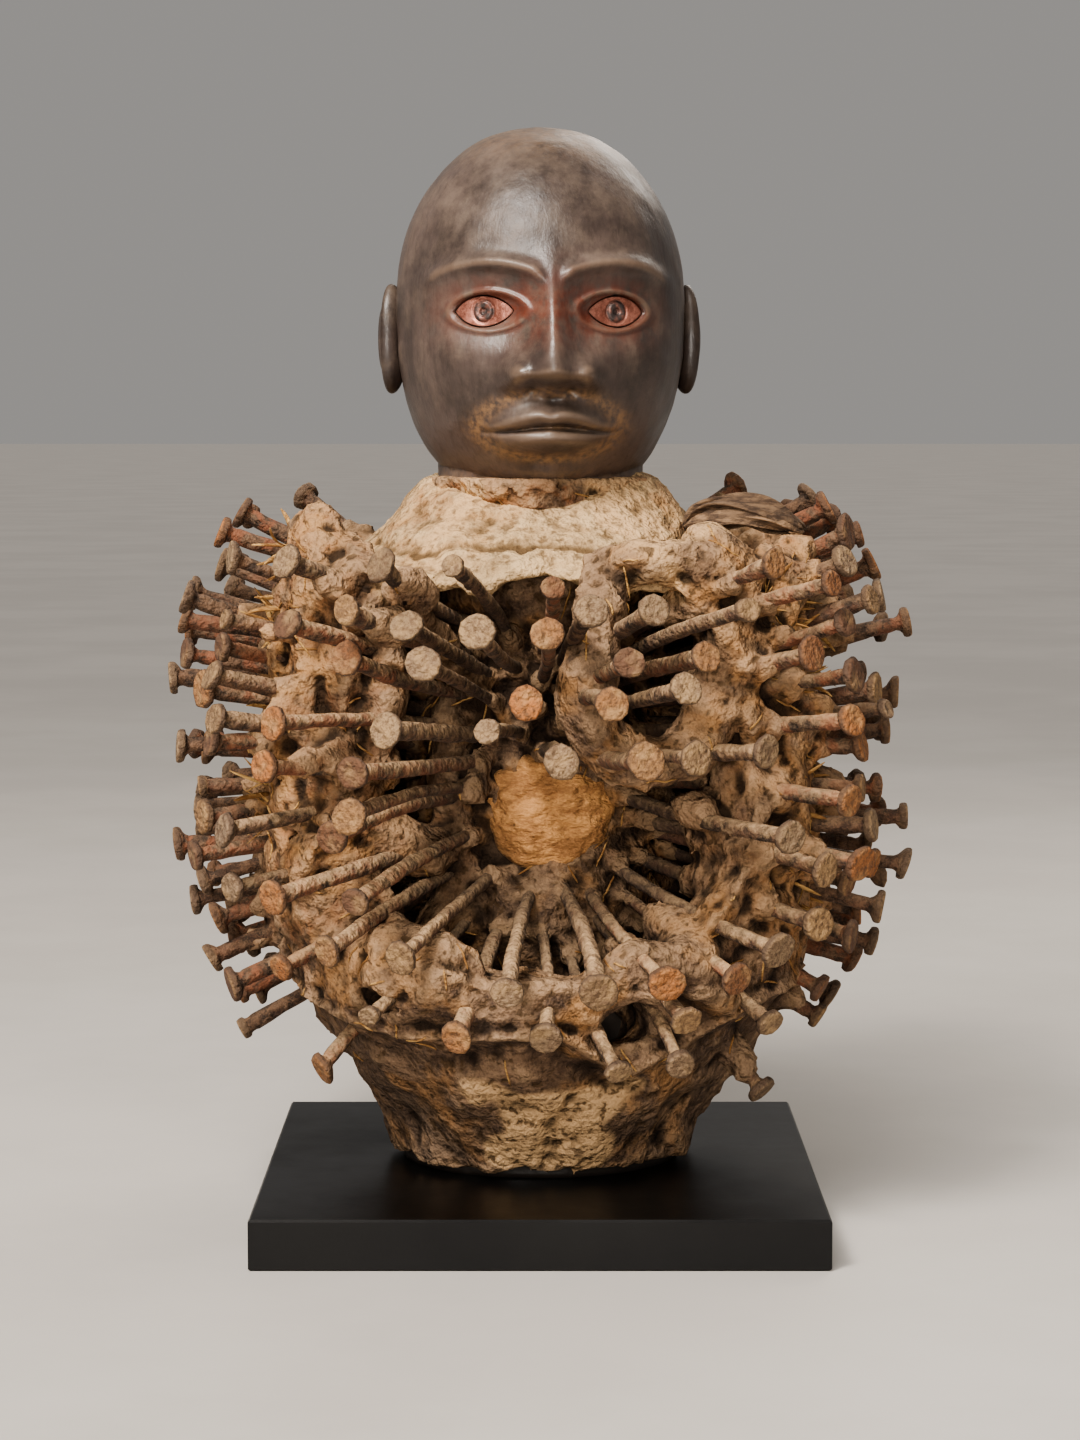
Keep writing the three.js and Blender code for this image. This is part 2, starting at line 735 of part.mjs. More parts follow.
const part = new THREE.Group();
part.add(meshOf("plinth", plinthSolid(), blackMetal));
part.add(figure);

export default part;
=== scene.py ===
"""A nkisi nkondi figure: a carved wooden head, trunk and foot in a cage of dried clay, full of iron nails.

Sizes are millimetres in the figure's own frame: its axis is Z, it faces -Y and it stands on the plinth's
top. A bearing is an angle about the axis, 0 at the front and growing towards +X. placed() turns millimetres
into metres in the shared frame.
"""

import math

import bpy
import numpy as np
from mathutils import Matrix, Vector
from mathutils.bvhtree import BVHTree


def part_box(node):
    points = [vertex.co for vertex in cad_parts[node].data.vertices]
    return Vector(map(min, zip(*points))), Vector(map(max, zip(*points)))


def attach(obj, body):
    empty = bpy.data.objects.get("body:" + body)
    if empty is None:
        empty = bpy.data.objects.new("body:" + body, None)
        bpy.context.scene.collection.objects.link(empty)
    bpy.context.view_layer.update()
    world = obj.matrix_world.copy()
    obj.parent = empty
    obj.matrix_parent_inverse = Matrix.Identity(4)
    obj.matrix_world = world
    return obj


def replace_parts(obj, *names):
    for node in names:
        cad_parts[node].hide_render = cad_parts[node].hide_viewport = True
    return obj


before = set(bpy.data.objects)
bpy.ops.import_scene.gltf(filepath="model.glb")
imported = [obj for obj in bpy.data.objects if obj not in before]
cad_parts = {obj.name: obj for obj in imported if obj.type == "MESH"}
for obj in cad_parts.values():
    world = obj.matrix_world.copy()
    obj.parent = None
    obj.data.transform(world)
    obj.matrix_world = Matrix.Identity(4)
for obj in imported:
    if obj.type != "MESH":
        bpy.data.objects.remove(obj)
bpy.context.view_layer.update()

# Place of the figure
PLINTH_TOP = 1000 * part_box("plinth")[1].z
FIGURE_HEIGHT = 1000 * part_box("carved_figure")[1].z - PLINTH_TOP
FIGURE_SET_BACK = 8.0

# Head
HEAD_HEIGHT = 130.0
HEAD_HALF_WIDTH = 50.0
HEAD_HALF_DEPTH = 58.0
HEAD_TURN = math.radians(4)
CHIN_HEIGHT = FIGURE_HEIGHT - HEAD_HEIGHT
JAW_FULLNESS = 2.5
CROWN_FULLNESS = 2.1
EAR_SIZE = (11.0, 17.0, 38.0)
EAR_LINE = 0.44
EAR_TURN = math.radians(20)

# Face, on lines that are shares of the head's height
EYE_LINE = 0.5
BROW_LINE = 0.575
NOSE_LINE = 0.3
MOUTH_LINE = 0.2
EYE_OFFSET = 21.0
EYE_WIDTH = 22.0
EYE_HEIGHT = 11.0
EYE_SLANT = math.radians(26)
EYE_FLOOR = 0.78
EYE_PLATE = 1.6
EYE_BULGE = 1.2
CLEARANCE = 0.3

# Wooden body: height and radius
BODY_PROFILE = np.array([
    [0, 49], [14, 51], [30, 57.5], [46, 64], [58, 58], [72, 43], [92, 38], [140, 39], [185, 37], [210, 37],
    [249.5, 36],
])
TRUNK_RADIUS = 38.0
TRUNK_BOTTOM = 72.0
FOOT_DEPTH_SHARE = 0.88

# Belly charge
BELLY_WIDTH = 46.0
BELLY_TALL = 40.0
BELLY_HEIGHT = 126.0
BELLY_BEARING = math.radians(5)
BELLY_THICKNESS = 6.0

# Clay: height and radius of its outside, and of its inside
CLAY_OUTSIDE = np.array([
    [5, 52], [15, 56], [45, 77], [64, 89], [92, 95], [125, 96], [155, 96], [182, 95], [209, 86], [215, 80],
])
CLAY_INSIDE = np.array([[49, 0], [50, 43], [68, 68], [92, 77], [194, 77], [209, 79]])
CLAY_TOP = 209.0
CLAY_BOTTOM = 4.0

# Openings in the clay: bearing, height, half spread in degrees and half height, the front window first. Each
# is a rounded rectangle, squarer for a higher SQUARENESS. None reaches below OPENINGS_FROM.
OPENINGS = np.array([
    [0, 146, 47, 71], [20, 61, 8, 10], [-33, 67, 6, 5], [-62, 124, 7, 10], [-68, 178, 6, 9], [66, 150, 7, 15],
    [110, 120, 9, 18], [152, 160, 11, 17], [190, 104, 11, 15], [238, 146, 11, 18], [54, 112, 6, 13],
    [56, 178, 5, 9],
])
SQUARENESS = 2.7
OPENINGS_FROM = 49.0

# Lumps on the clay: bearing, height, spread in degrees, half height and reach
CLAY_LUMPS = [
    [-30, 70, 13, 11, 6], [46, 64, 15, 13, 6], [-50, 104, 12, 18, 4], [-66, 205, 14, 16, 3],
    [57, 190, 12, 20, 3],
]

# Straps, struts and pillars of clay: stations of radius, bearing and height, then half their thickness
CLAY_STRAPS = [
    ([[64, 20, 210], [78, 14, 190], [80, 11, 164], [80, 20, 148], [83, 35, 148], [86, 43, 168],
      [85, 49, 198]], 7.4),
    ([[42, -44, 158], [43, -43, 122], [46, -42, 92], [78, -42, 64]], 8.0),
    ([[86, -54, 120], [70, -48, 116], [56, -42, 112]], 7.5),
    ([[85, -65, 221], [90, -66, 205], [93, -67, 175], [93, -65, 140], [94, -67, 105], [86, -60, 70]], 6.0),
    ([[84, -61, 226], [88, -61, 212], [91, -61, 180], [93, -60, 150], [94, -62, 110]], 5.8),
    ([[86, -57, 216], [91, -57, 196], [92, -57, 165], [92, -58, 135]], 4.8),
    ([[88, 60, 208], [91, 63, 170], [92, 61, 130], [90, 58, 95], [84, 52, 70]], 8.5),
    ([[72, -43, 204], [75, -42, 186], [76, -43, 160], [80, -54, 138]], 5.2),
    ([[92, -55, 152], [86, -50, 124]], 6.5),
    ([[80, -46, 76], [86, -34, 82], [84, -20, 78]], 9.5),
    ([[82, 8, 66], [87, 20, 79], [89, 32, 76], [90, 42, 68]], 6.5),
    ([[78, 44, 214], [86, 50, 204]], 9.5),
    ([[86, 47, 206], [80, 36, 212], [72, 24, 212]], 6.0),
    ([[92, -31, 203], [70, -30, 187], [48, -27, 171]], 4.6),
]

# Sectors that the clay is made in: name, then first and last bearing. At a seam the later one runs on under
# the earlier one, this far and this deep.
CLAY_SECTORS = [("front", -78, 78), ("left", 78, 180), ("right", -180, -78)]
SEAM_OVERLAP = 4.0
SEAM_DEPTH = 0.7

# Grids for the clay's surfaces: lowest corner, highest corner and step
CAGE_GRID = ((-112, -112, 1), (112, 112, 242), 1.79)
COLLAR_GRID = ((-100, -100, 185), (100, 100, 250), 1.5)

# Distances that stand for a place outside the clay: where no opening is, and round the grid
OUTSIDE = 10.0
PADDING = 5.0

# The crust on the trunk: from where to where, and how thick
CRUST_LOWEST = 60.0
CRUST_HIGHEST = 240.0
CRUST_THICKNESS = 2.6

# Clay on the nails: the middle of the wall that they pass, and the clay's radius where it starts and ends, at
# the root, in the wall and in lumps further out
WALL_RADIUS = 80.0
ROOT_CLAY = (4.6, 3.0)
WALL_CLAY = (6.4, 3.1)
LUMP_CLAY = (6.2, 4.4)
LUMPED_SHARE = 0.4
BARE_BEARING = 24.0

# Seeds of the random draws
NAIL_PLACES = 1897
NAIL_SHAPES = 77
NAIL_TONES = 12
NAIL_CLAY = 31
LEAF_SHAPES = 91
TUFT_PLACES = 95
BLADE_SHAPES = 96
STRAW_PLACES = 97

# Noise: where its lattice starts on each axis, and how far it runs
NOISE_START = -150.0
NOISE_SPAN = 540.0

# Edge of the lower bowl, a thin lip round the front: bearing and height
BOWL_LIP = np.array([[-75, 66], [-55, 62], [-33, 55], [4, 58], [20, 42], [34, 50], [48, 63], [75, 70]])

# Collar: radius and height of its top, then how deep it hangs
COLLAR_TOP = np.array([[34, 242], [41, 239], [50, 229], [59, 219], [68, 209], [86, 203]])
COLLAR_FRONT_DIP = 10.0
COLLAR_RADIUS = 68.0
COLLAR_THICKNESS = 10.0
NECK_RADIUS = 36.0

# Nails
SHANK_RADIUS = 3.0
NAIL_HEAD_DIAMETER = 12.5
NAIL_REACH = 126.0
NAIL_SPREAD = 0.6
NAIL_SPREAD_HEIGHT = 140.0
NAIL_SPACING = NAIL_HEAD_DIAMETER + 1.5
ROOT_SPACING = 2 * SHANK_RADIUS + 3
REACH_PROFILE = np.array([
    [25, 0.7], [45, 0.8], [70, 0.9], [100, 0.985], [140, 1], [180, 1], [205, 0.985], [220, 0.9], [235, 0.78],
])

# The front nails: the height of their heads, then the bearings of the heads in degrees
FRONT_ROWS = [
    [232, [106]], [221, [70]], [213, [-68, -47, -27, -14, 40, 66]], [206, [2, 50]],
    [199, [-77, -29, 8, 18, 31, 68]], [193, [-61, -44, -21, -9, 1, 54]], [183, [-66, -32, -18, 13, 26, 49]],
    [175, [-58, 22]], [170, [-2, 10]], [161, [-43, -23, -8, 52, 66]], [152, [-62, 3, 15, 23, 38]],
    [146, [-84, -48, -28, 67]], [134, [-28, 53, 67]], [124, [-72, -35, 41, 68]], [112, [-83, -68, 48, 69]],
    [104, [-43, -30, -56, 64]], [93, [50, 72]], [86, [-81, -37, -23, 40, 60]], [77, [-51, -5, 9, 22, 36]],
    [65, [-73, -31, 67]], [59, [-15, 1, 46]], [48, [14, 27]], [41, [-50]], [31, [58]], [233, [132]],
    [229, [-122]],
]

# The back nails: rows from the lowest to the highest, each with nails from one bearing to another
BACK_ROWS = 7
BACK_LOWEST = 66
BACK_HIGHEST = 224
BACK_NAILS = 6
BACK_START = 96
BACK_END = 258

# Nails of the scene alone: height and bearing of some at the front, then rows that are closer on the flanks
# than on the back
FURTHER_FRONT = [[175, 57], [170, -65], [161, -56], [124, -54], [112, 57], [65, 25], [59, -83]]
FURTHER_ROWS = 10
FURTHER_LOWEST = 54
FURTHER_HIGHEST = 222
FURTHER_BEARINGS = [80, 94, 110, 150, 200, 246, 260, 274]
FURTHER_SHIFT = 7

# Fibre bundle on the right shoulder: stations of radius, bearing and height
BUNDLE_STATIONS = [[58, 58, 222], [68, 64, 227], [80, 69, 227], [93, 76, 221]]
LEAVES = 16
BUNDLE_HALF_WIDTH = 6.5
BUNDLE_HALF_DEPTH = 3.6

# Tufts of dry grass: radius, bearing, height and number of blades
TUFTS = [
    (88, 57, 196, 22), (90, 63, 200, 20), (93, 66, 186, 30), (92, 62, 178, 24), (94, 70, 168, 18),
    (93, 62, 150, 16), (95, 66, 128, 20), (93, 60, 112, 16), (94, 67, 98, 18), (92, -66, 214, 14),
    (95, -68, 190, 18), (95, -62, 160, 14), (96, -70, 128, 14), (94, 118, 170, 16), (95, 150, 120, 16),
    (95, 210, 180, 16), (94, 240, 110, 14), (92, 180, 205, 14),
]

# Straws on the clay: how many, how many places are tried, radius, and the lowest place, in metres
STRAWS = 170
STRAW_TRIES = 900
STRAW_RADIUS = 0.36
LOWEST_STRAW = 0.06

# Colours of the nails' heads, from tone 0 to 1
NAIL_SHADES = [
    ("7a6550", 0.0), ("8b7357", 0.2), ("6c5843", 0.35), ("90724f", 0.5), ("845e3c", 0.65), ("9c6438", 0.8),
    ("5f4230", 0.92),
]


def ramp(low, high, value):
    """A smooth step from 0 at low to 1 at high: 3t^2 - 2t^3."""
    share = np.clip((value - low) / (high - low), 0, 1)
    return share * share * (3 - 2 * share)


def bell(distance, width):
    """A bell of height 1 at zero: e to the minus square of distance over width."""
    return np.exp(-((distance / width) ** 2))


def polar(radius, bearing, height):
    """The points at a radius, a bearing in radians and a height."""
    radius, bearing, height = np.broadcast_arrays(radius, bearing, height)
    return np.stack([radius * np.sin(bearing), -radius * np.cos(bearing), height], axis=-1).astype(float)


def about_axis(x, y):
    """Radius, bearing and bearing in degrees of places round the figure's axis."""
    bearing = np.arctan2(x, -y)
    return np.hypot(x, y), bearing, np.degrees(bearing)


def along(profile, position):
    """The value at a position between pairs of position and value, joined by straight lines."""
    return np.interp(position, profile[:, 0], profile[:, 1])


def turned(points, angle):
    """The points turned about the figure's axis."""
    x, y, z = np.moveaxis(points, -1, 0)
    cosine, sine = math.cos(angle), math.sin(angle)
    return np.stack([cosine * x - sine * y, sine * x + cosine * y, z], axis=-1)


def placed(points):
    """Millimetres of the figure's frame as metres of the shared frame."""
    return (np.asarray(points) + [0, FIGURE_SET_BACK, PLINTH_TOP]) / 1000


def unplaced(points):
    """Metres of the shared frame as millimetres of the figure's frame."""
    return np.asarray(points) * 1000 - [0, FIGURE_SET_BACK, PLINTH_TOP]


def unit(vectors):
    """The vectors at length 1."""
    return vectors / np.maximum(np.linalg.norm(vectors, axis=-1, keepdims=True), 1e-9)


def smooth_path(stations, count):
    """A smooth path through stations: a Catmull-Rom spline, sampled at even steps of its parameter."""
    knots = np.array([2 * stations[0] - stations[1], *stations, 2 * stations[-1] - stations[-2]])
    place = np.linspace(0, len(stations) - 1, count)
    start = np.minimum(place.astype(int), len(stations) - 2)
    share = (place - start)[:, None]
    before, here, ahead, after = (knots[start + i] for i in range(4))
    bend = (ahead - before) * share + (2 * before - 5 * here + 4 * ahead - after) * share**2
    return here + 0.5 * (bend + (3 * here - before - 3 * ahead + after) * share**3)


def station_path(stations, count):
    """A smooth path through stations of radius, bearing in degrees and height."""
    return smooth_path([polar(r, math.radians(b), h) for r, b, h in stations], count)


def lattice(wavelength, seed):
    """Even random values from -1 to 1 on a cubic lattice of the given wavelength."""
    count = int(NOISE_SPAN / wavelength) + 3
    return np.random.default_rng(seed).uniform(-1, 1, (count, count, count)).astype(np.float32)


def grid_noise(axes, wavelength, seed):
    """Value noise on a grid: a lattice of random values, joined by smooth steps along each axis in turn."""
    values = lattice(wavelength, seed)
    for number, axis in enumerate(axes):
        place = (axis.ravel() - NOISE_START) / wavelength
        cell = np.floor(place).astype(int)
        share = ramp(0, 1, place - cell).astype(np.float32)
        values = np.moveaxis(values, number, -1)
        values = values[..., cell] * (1 - share) + values[..., cell + 1] * share
        values = np.moveaxis(values, -1, number)
    return values


def creased(axes, wavelength, seed):
    """Lumps with sharp creases between them: 1 in the creases, where the noise is zero, and -1 on the
    lumps."""
    return 1 - 2 * np.abs(grid_noise(axes, wavelength, seed))


def flaked(axes, wavelength, seed):
    """Layers with broken edges: value noise rounded to steps of 0.4, with some of the noise itself."""
    values = grid_noise(axes, wavelength, seed)
    return 0.8 * np.round(values / 0.4) * 0.4 + 0.2 * values


def grain(shape, reach, seed):
    """Random values from minus to plus the reach, one for each point of a grid: its finest crumbs."""
    return np.random.default_rng(seed).uniform(-reach, reach, shape).astype(np.float32)


def point_noise(points, wavelength, seed):
    """The same value noise at free points: the eight corners round each point, weighted by smooth steps."""
    values = lattice(wavelength, seed)
    place = (points - NOISE_START) / wavelength
    cell = np.floor(place).astype(int)
    share = ramp(0, 1, place - cell)
    total = np.zeros(points.shape[:-1])
    for corner in np.ndindex(2, 2, 2):
        weight = np.prod(np.where(corner, share, 1 - share), axis=-1)
        x, y, z = np.moveaxis(cell + corner, -1, 0)
        total += weight * values[x, y, z]
    return total


def closed_tubes(rings):
    """Points and faces of closed tubes from rings[tube, ring, corner]: quads join neighbouring rings, and a
    fan round its middle closes each end."""
    tubes, count, corners = rings.shape[:3]
    ends = rings[:, [0, -1]].mean(axis=2)
    points = np.concatenate([rings.reshape(tubes, -1, 3), ends], axis=1)
    index = np.arange(count * corners).reshape(count, corners)
    here, ahead = index[:-1], index[1:]
    quads = np.stack([here, np.roll(here, -1, 1), np.roll(ahead, -1, 1), ahead], axis=-1).reshape(-1, 4)
    first, last = index[0], index[-1]
    middle = np.full(corners, count * corners)
    fans = np.concatenate([
        np.stack([middle, np.roll(first, -1), first], axis=-1),
        np.stack([middle + 1, last, np.roll(last, -1)], axis=-1),
    ])
    shift = (np.arange(tubes) * points.shape[1])[:, None, None]
    return points.reshape(-1, 3), (quads + shift).reshape(-1, 4), (fans + shift).reshape(-1, 3)


def across(direction):
    """Two unit vectors square to each direction, which make a right-handed set with it."""
    helper = np.where(np.abs(direction[..., 2:]) < 0.9, [0.0, 0.0, 1.0], [1.0, 0.0, 0.0])
    first = unit(np.cross(helper, direction))
    return first, np.cross(direction, first)


def tube_rings(paths, radii, corners, flatness=1.0, twist=0.0, groove=0.0):
    """Rings of tubes along paths[tube, step]. Each ring is an ellipse square to the path: radius along one
    way across, radius times flatness along the other, turned by twist. A groove bends it in waves over its
    width."""
    first, second = across(unit(np.gradient(paths, axis=1)))
    angle = np.linspace(0, 2 * math.pi, corners, endpoint=False)
    twist = np.asarray(twist)[..., None, None]
    radii = radii[..., None, None]
    wide = radii * np.cos(angle)[:, None]
    thick = radii * (flatness * np.sin(angle) + groove * np.sin(9 * np.cos(angle)))[:, None]
    turn_first = np.cos(twist) * first[:, :, None] + np.sin(twist) * second[:, :, None]
    turn_second = np.cos(twist) * second[:, :, None] - np.sin(twist) * first[:, :, None]
    return paths[:, :, None] + wide * turn_first + thick * turn_second


def link(name, data):
    """A new object of the scene."""
    made = bpy.data.objects.new(name, data)
    bpy.context.scene.collection.objects.link(made)
    return made


def finished_piece(name, mesh, material, values):
    """A smooth shaded piece from its mesh, with its own values at its points."""
    mesh.polygons.foreach_set("use_smooth", np.ones(len(mesh.polygons), bool))
    for label, numbers in values.items():
        layer = mesh.attributes.new(label, "FLOAT", "POINT")
        layer.data.foreach_set("value", np.asarray(numbers, np.float32))
    mesh.materials.clear()
    mesh.materials.append(material)
    piece = link(name, mesh)
    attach(piece, "root")
    return piece


def add_piece(name, points, face_sets, material, values):
    """A piece from points in millimetres and arrays of faces, each array with one number of corners."""
    corners = np.concatenate([faces.ravel() for faces in face_sets])
    sizes = np.concatenate([np.full(len(faces), faces.shape[1]) for faces in face_sets])
    mesh = bpy.data.meshes.new(name)
    mesh.vertices.add(len(points))
    mesh.vertices.foreach_set("co", placed(points).astype(np.float32).ravel())
    mesh.loops.add(len(corners))
    mesh.loops.foreach_set("vertex_index", corners.astype(np.int32))
    mesh.polygons.add(len(sizes))
    mesh.polygons.foreach_set("loop_start", (np.cumsum(sizes) - sizes).astype(np.int32))
    mesh.update(calc_edges=True)
    mesh.validate()
    return finished_piece(name, mesh, material, values)


def add_tubes(name, rings, material, values):
    """A piece of closed tubes from their rings."""
    points, quads, fans = closed_tubes(rings)
    return add_piece(name, points, [quads, fans], material, values)


def per_tube(values, rings):
    """A value for each tube as one for each of its points."""
    return np.repeat(values, rings.shape[1] * rings.shape[2] + 2)


def quad_edges(quads):
    """The edges of quads, as pairs of point numbers."""
    return np.concatenate([quads[:, [side, (side + 1) % 4]] for side in range(4)])


def neighbour_mean(edges, values):
    """The mean of the values at each point's neighbours along the edges."""
    if values.ndim == 2:
        return np.stack([neighbour_mean(edges, column) for column in values.T], axis=-1)
    start, end = edges.T
    size = len(values)
    total = np.bincount(start, values[end], size) + np.bincount(end, values[start], size)
    return total / np.maximum(np.bincount(edges.ravel(), minlength=size), 1)


def hollows(points, quads, passes=6):
    """How deep each point lies in a hollow: how far its neighbours' mean stands out from it along the normal,
    smoothed."""
    corner = points[quads]
    face_normal = np.cross(corner[:, 2] - corner[:, 0], corner[:, 3] - corner[:, 1])
    normal = np.zeros_like(points)
    for axis, side in np.ndindex(3, 4):
        normal[:, axis] += np.bincount(quads[:, side], face_normal[:, axis], len(points))
    edges = quad_edges(quads)
    depth = ((neighbour_mean(edges, points) - points) * unit(normal)).sum(axis=-1)
    for _ in range(passes):
        depth = 0.5 * depth + 0.5 * neighbour_mean(edges, depth)
    return np.clip(0.5 + 0.5 * depth / max(2 * depth.std(), 1e-6), 0, 1)


def broad_hollows(mesh, points, passes=10):
    """The same for a finished mesh, but broader: how far each point lies under the surface smoothed in
    several passes, where 0.6 mm counts as full."""
    edges = np.zeros(2 * len(mesh.edges), np.int32)
    mesh.edges.foreach_get("vertices", edges)
    normal = np.zeros(3 * len(points), np.float32)
    mesh.vertices.foreach_get("normal", normal)
    smooth = points
    for _ in range(passes):
        smooth = neighbour_mean(edges.reshape(-1, 2), smooth)
    depth = ((smooth - points) * normal.reshape(-1, 3)).sum(axis=-1)
    return 0.5 + 0.5 * np.clip(depth / 0.6, -1, 1)


class Nodes:
    """A shader tree and short ways to add to it. Its textures are read at the vector."""

    def __init__(self, tree, vector=None):
        self.tree = tree
        self.vector = vector

    def feed(self, socket, value):
        """Joins another node's output to an input, or writes a value there."""
        if isinstance(value, bpy.types.NodeSocket):
            self.tree.links.new(value, socket)
        else:
            socket.default_value = value

    def add(self, kind, inputs=None, **settings):
        """A node with its settings and with a value or an output for each input."""
        made = self.tree.nodes.new(kind)
        for label, value in settings.items():
            setattr(made, label, value)
        for label, value in (inputs or {}).items():
            self.feed(made.inputs[label], value)
        return made

    def maths(self, operation, first, second, clamp=False):
        """The result of a Math node."""
        made = self.add("ShaderNodeMath", {0: first, 1: second}, operation=operation, use_clamp=clamp)
        return made.outputs[0]

    def times(self, first, second):
        """The product of two values."""
        return self.maths("MULTIPLY", first, second)

    def vectors(self, operation, first, second=(0, 0, 0), output="Vector"):
        """The result of a Vector Math node."""
        made = self.add("ShaderNodeVectorMath", {0: first, 1: second}, operation=operation)
        return made.outputs[output]

    def spread(self, value, low, high, low_out=0.0, high_out=1.0):
        """A value taken smoothly from the range low to high to the range low_out to high_out."""
        inputs = {"Value": value, "From Min": low, "From Max": high, "To Min": low_out, "To Max": high_out}
        return self.add("ShaderNodeMapRange", inputs, interpolation_type="SMOOTHSTEP").outputs["Result"]

    def noise(self, scale, detail=4.0, roughness=0.6, vector=None):
        """The value of a noise texture with the given number of waves in a metre."""
        place = self.vector if vector is None else vector
        inputs = {"Vector": place, "Scale": scale, "Detail": detail, "Roughness": roughness}
        return self.add("ShaderNodeTexNoise", inputs).outputs["Fac"]

    def blend(self, factor, first, second):
        """Two colours mixed by a factor."""
        return self.add("ShaderNodeMix", {0: factor, 6: first, 7: second}, data_type="RGBA").outputs[2]


class Look(Nodes):
    """A material in the making, on the object's own coordinates. Its colour is laid down coat by coat."""

    def __init__(self, name):
        self.material = bpy.data.materials.new(name)
        self.material.use_nodes = True
        super().__init__(self.material.node_tree)
        self.vector = self.add("ShaderNodeTexCoord").outputs["Object"]
        self.base = None

    def stretched(self, *scale):
        """The coordinates with each axis scaled."""
        return self.add("ShaderNodeMapping", {"Vector": self.vector, "Scale": scale}).outputs["Vector"]

    def own(self, label):
        """The piece's own value of that name."""
        return self.add("ShaderNodeAttribute", attribute_name=label).outputs["Fac"]

    def patchy(self, label, scale, low, high):
        """The piece's own value of that name, broken into patches."""
        return self.times(self.own(label), self.spread(self.noise(scale), low, high))

    def group(self, group, inputs):
        """The outputs of a group, placed with its inputs."""
        return self.add("ShaderNodeGroup", {"Vector": self.vector, **inputs}, node_tree=group).outputs

    def mottle(self, scale, dark, light, specks):
        """The first coat: patches of two colours."""
        inputs = {"Scale": scale, "Dark": colour(dark), "Light": colour(light), "Specks": specks}
        self.base = self.group(MOTTLE, inputs)["Color"]

    def coat(self, code, factor):
        """A coat of one colour, as thick as the factor."""
        self.base = self.blend(factor, self.base, colour(code))

    def dust(self, scale, code, amount, level):
        """A coat of dust."""
        inputs = {"Scale": scale, "Color": self.base, "Dust": colour(code), "Amount": amount, "Level": level}
        self.base = self.group(DUST, inputs)["Color"]

    def finished(self, roughness, height=None, depth=0.0, specular=0.5, metallic=0.0):
        """The finished material, with a bump of the given depth in millimetres."""
        shader = self.tree.nodes["Principled BSDF"]
        inputs = {"Base Color": self.base, "Roughness": roughness, "Metallic": metallic}
        inputs["Specular IOR Level"] = specular
        if height is not None:
            bump = self.add("ShaderNodeBump", {"Height": height, "Distance": depth / 1000, "Strength": 1.0})
            inputs["Normal"] = bump.outputs["Normal"]
        for label, value in inputs.items():
            self.feed(shader.inputs[label], value)
        return self.material


def colour(code):
    """A colour of the display, written as six hexadecimal digits, as linear light."""
    channels = [int(code[i : i + 2], 16) / 255 for i in (0, 2, 4)]
    return [c / 12.92 if c <= 0.04045 else ((c + 0.055) / 1.055) ** 2.4 for c in channels] + [1.0]


def new_group(name, inputs, outputs):
    """An empty shader node group: its nodes, the sockets that it reads and those that it fills. An input is
    given as its kind, or as its value where it is a number."""
    tree = bpy.data.node_groups.new(name, "ShaderNodeTree")
    for label, value in inputs.items():
        kind = value if isinstance(value, str) else "Float"
        socket = tree.interface.new_socket(label, in_out="INPUT", socket_type="NodeSocket" + kind)
        if kind == "Float":
            socket.default_value = value
    for label, kind in outputs.items():
        tree.interface.new_socket(label, in_out="OUTPUT", socket_type="NodeSocket" + kind)
    given = tree.nodes.new("NodeGroupInput").outputs
    return Nodes(tree, given["Vector"]), given, tree.nodes.new("NodeGroupOutput").inputs


def mottle_group():
    """Patches of two colours at one size, with fine specks at a ninth of it."""
    inputs = {"Vector": "Vector", "Scale": 60.0, "Dark": "Color", "Light": "Color", "Specks": 0.3}
    nodes, given, made = new_group("mottle", inputs, {"Color": "Color"})
    patches = nodes.spread(nodes.noise(given["Scale"], 6.0, 0.65), 0.36, 0.64)
    fine = nodes.noise(nodes.times(given["Scale"], 9.0), 3.0, 0.7)
    specks = nodes.times(nodes.maths("SUBTRACT", fine, 0.5), nodes.times(given["Specks"], 3.0))
    mask = nodes.maths("ADD", patches, specks, clamp=True)
    nodes.feed(made["Color"], nodes.blend(mask, given["Dark"], given["Light"]))
    return nodes.tree


def dust_group():
    """A coat of dust in loose patches, thicker on upward faces. Level raises it everywhere."""
    inputs = {
        "Vector": "Vector", "Color": "Color", "Dust": "Color", "Amount": 0.5, "Level": 0.5, "Scale": 90.0,
    }
    nodes, given, made = new_group("dust_coat", inputs, {"Color": "Color"})
    normal = nodes.add("ShaderNodeNewGeometry").outputs["Normal"]
    upward = nodes.add("ShaderNodeSeparateXYZ", {"Vector": normal}).outputs["Z"]
    gathered = nodes.maths("ADD", nodes.noise(given["Scale"], 5.0, 0.7), nodes.times(given["Level"], 0.5))
    gathered = nodes.maths("ADD", gathered, nodes.times(upward, 0.18))
    mask = nodes.maths("MULTIPLY", nodes.spread(gathered, 0.55, 1.0), given["Amount"], clamp=True)
    nodes.feed(made["Color"], nodes.blend(mask, given["Color"], given["Dust"]))
    return nodes.tree


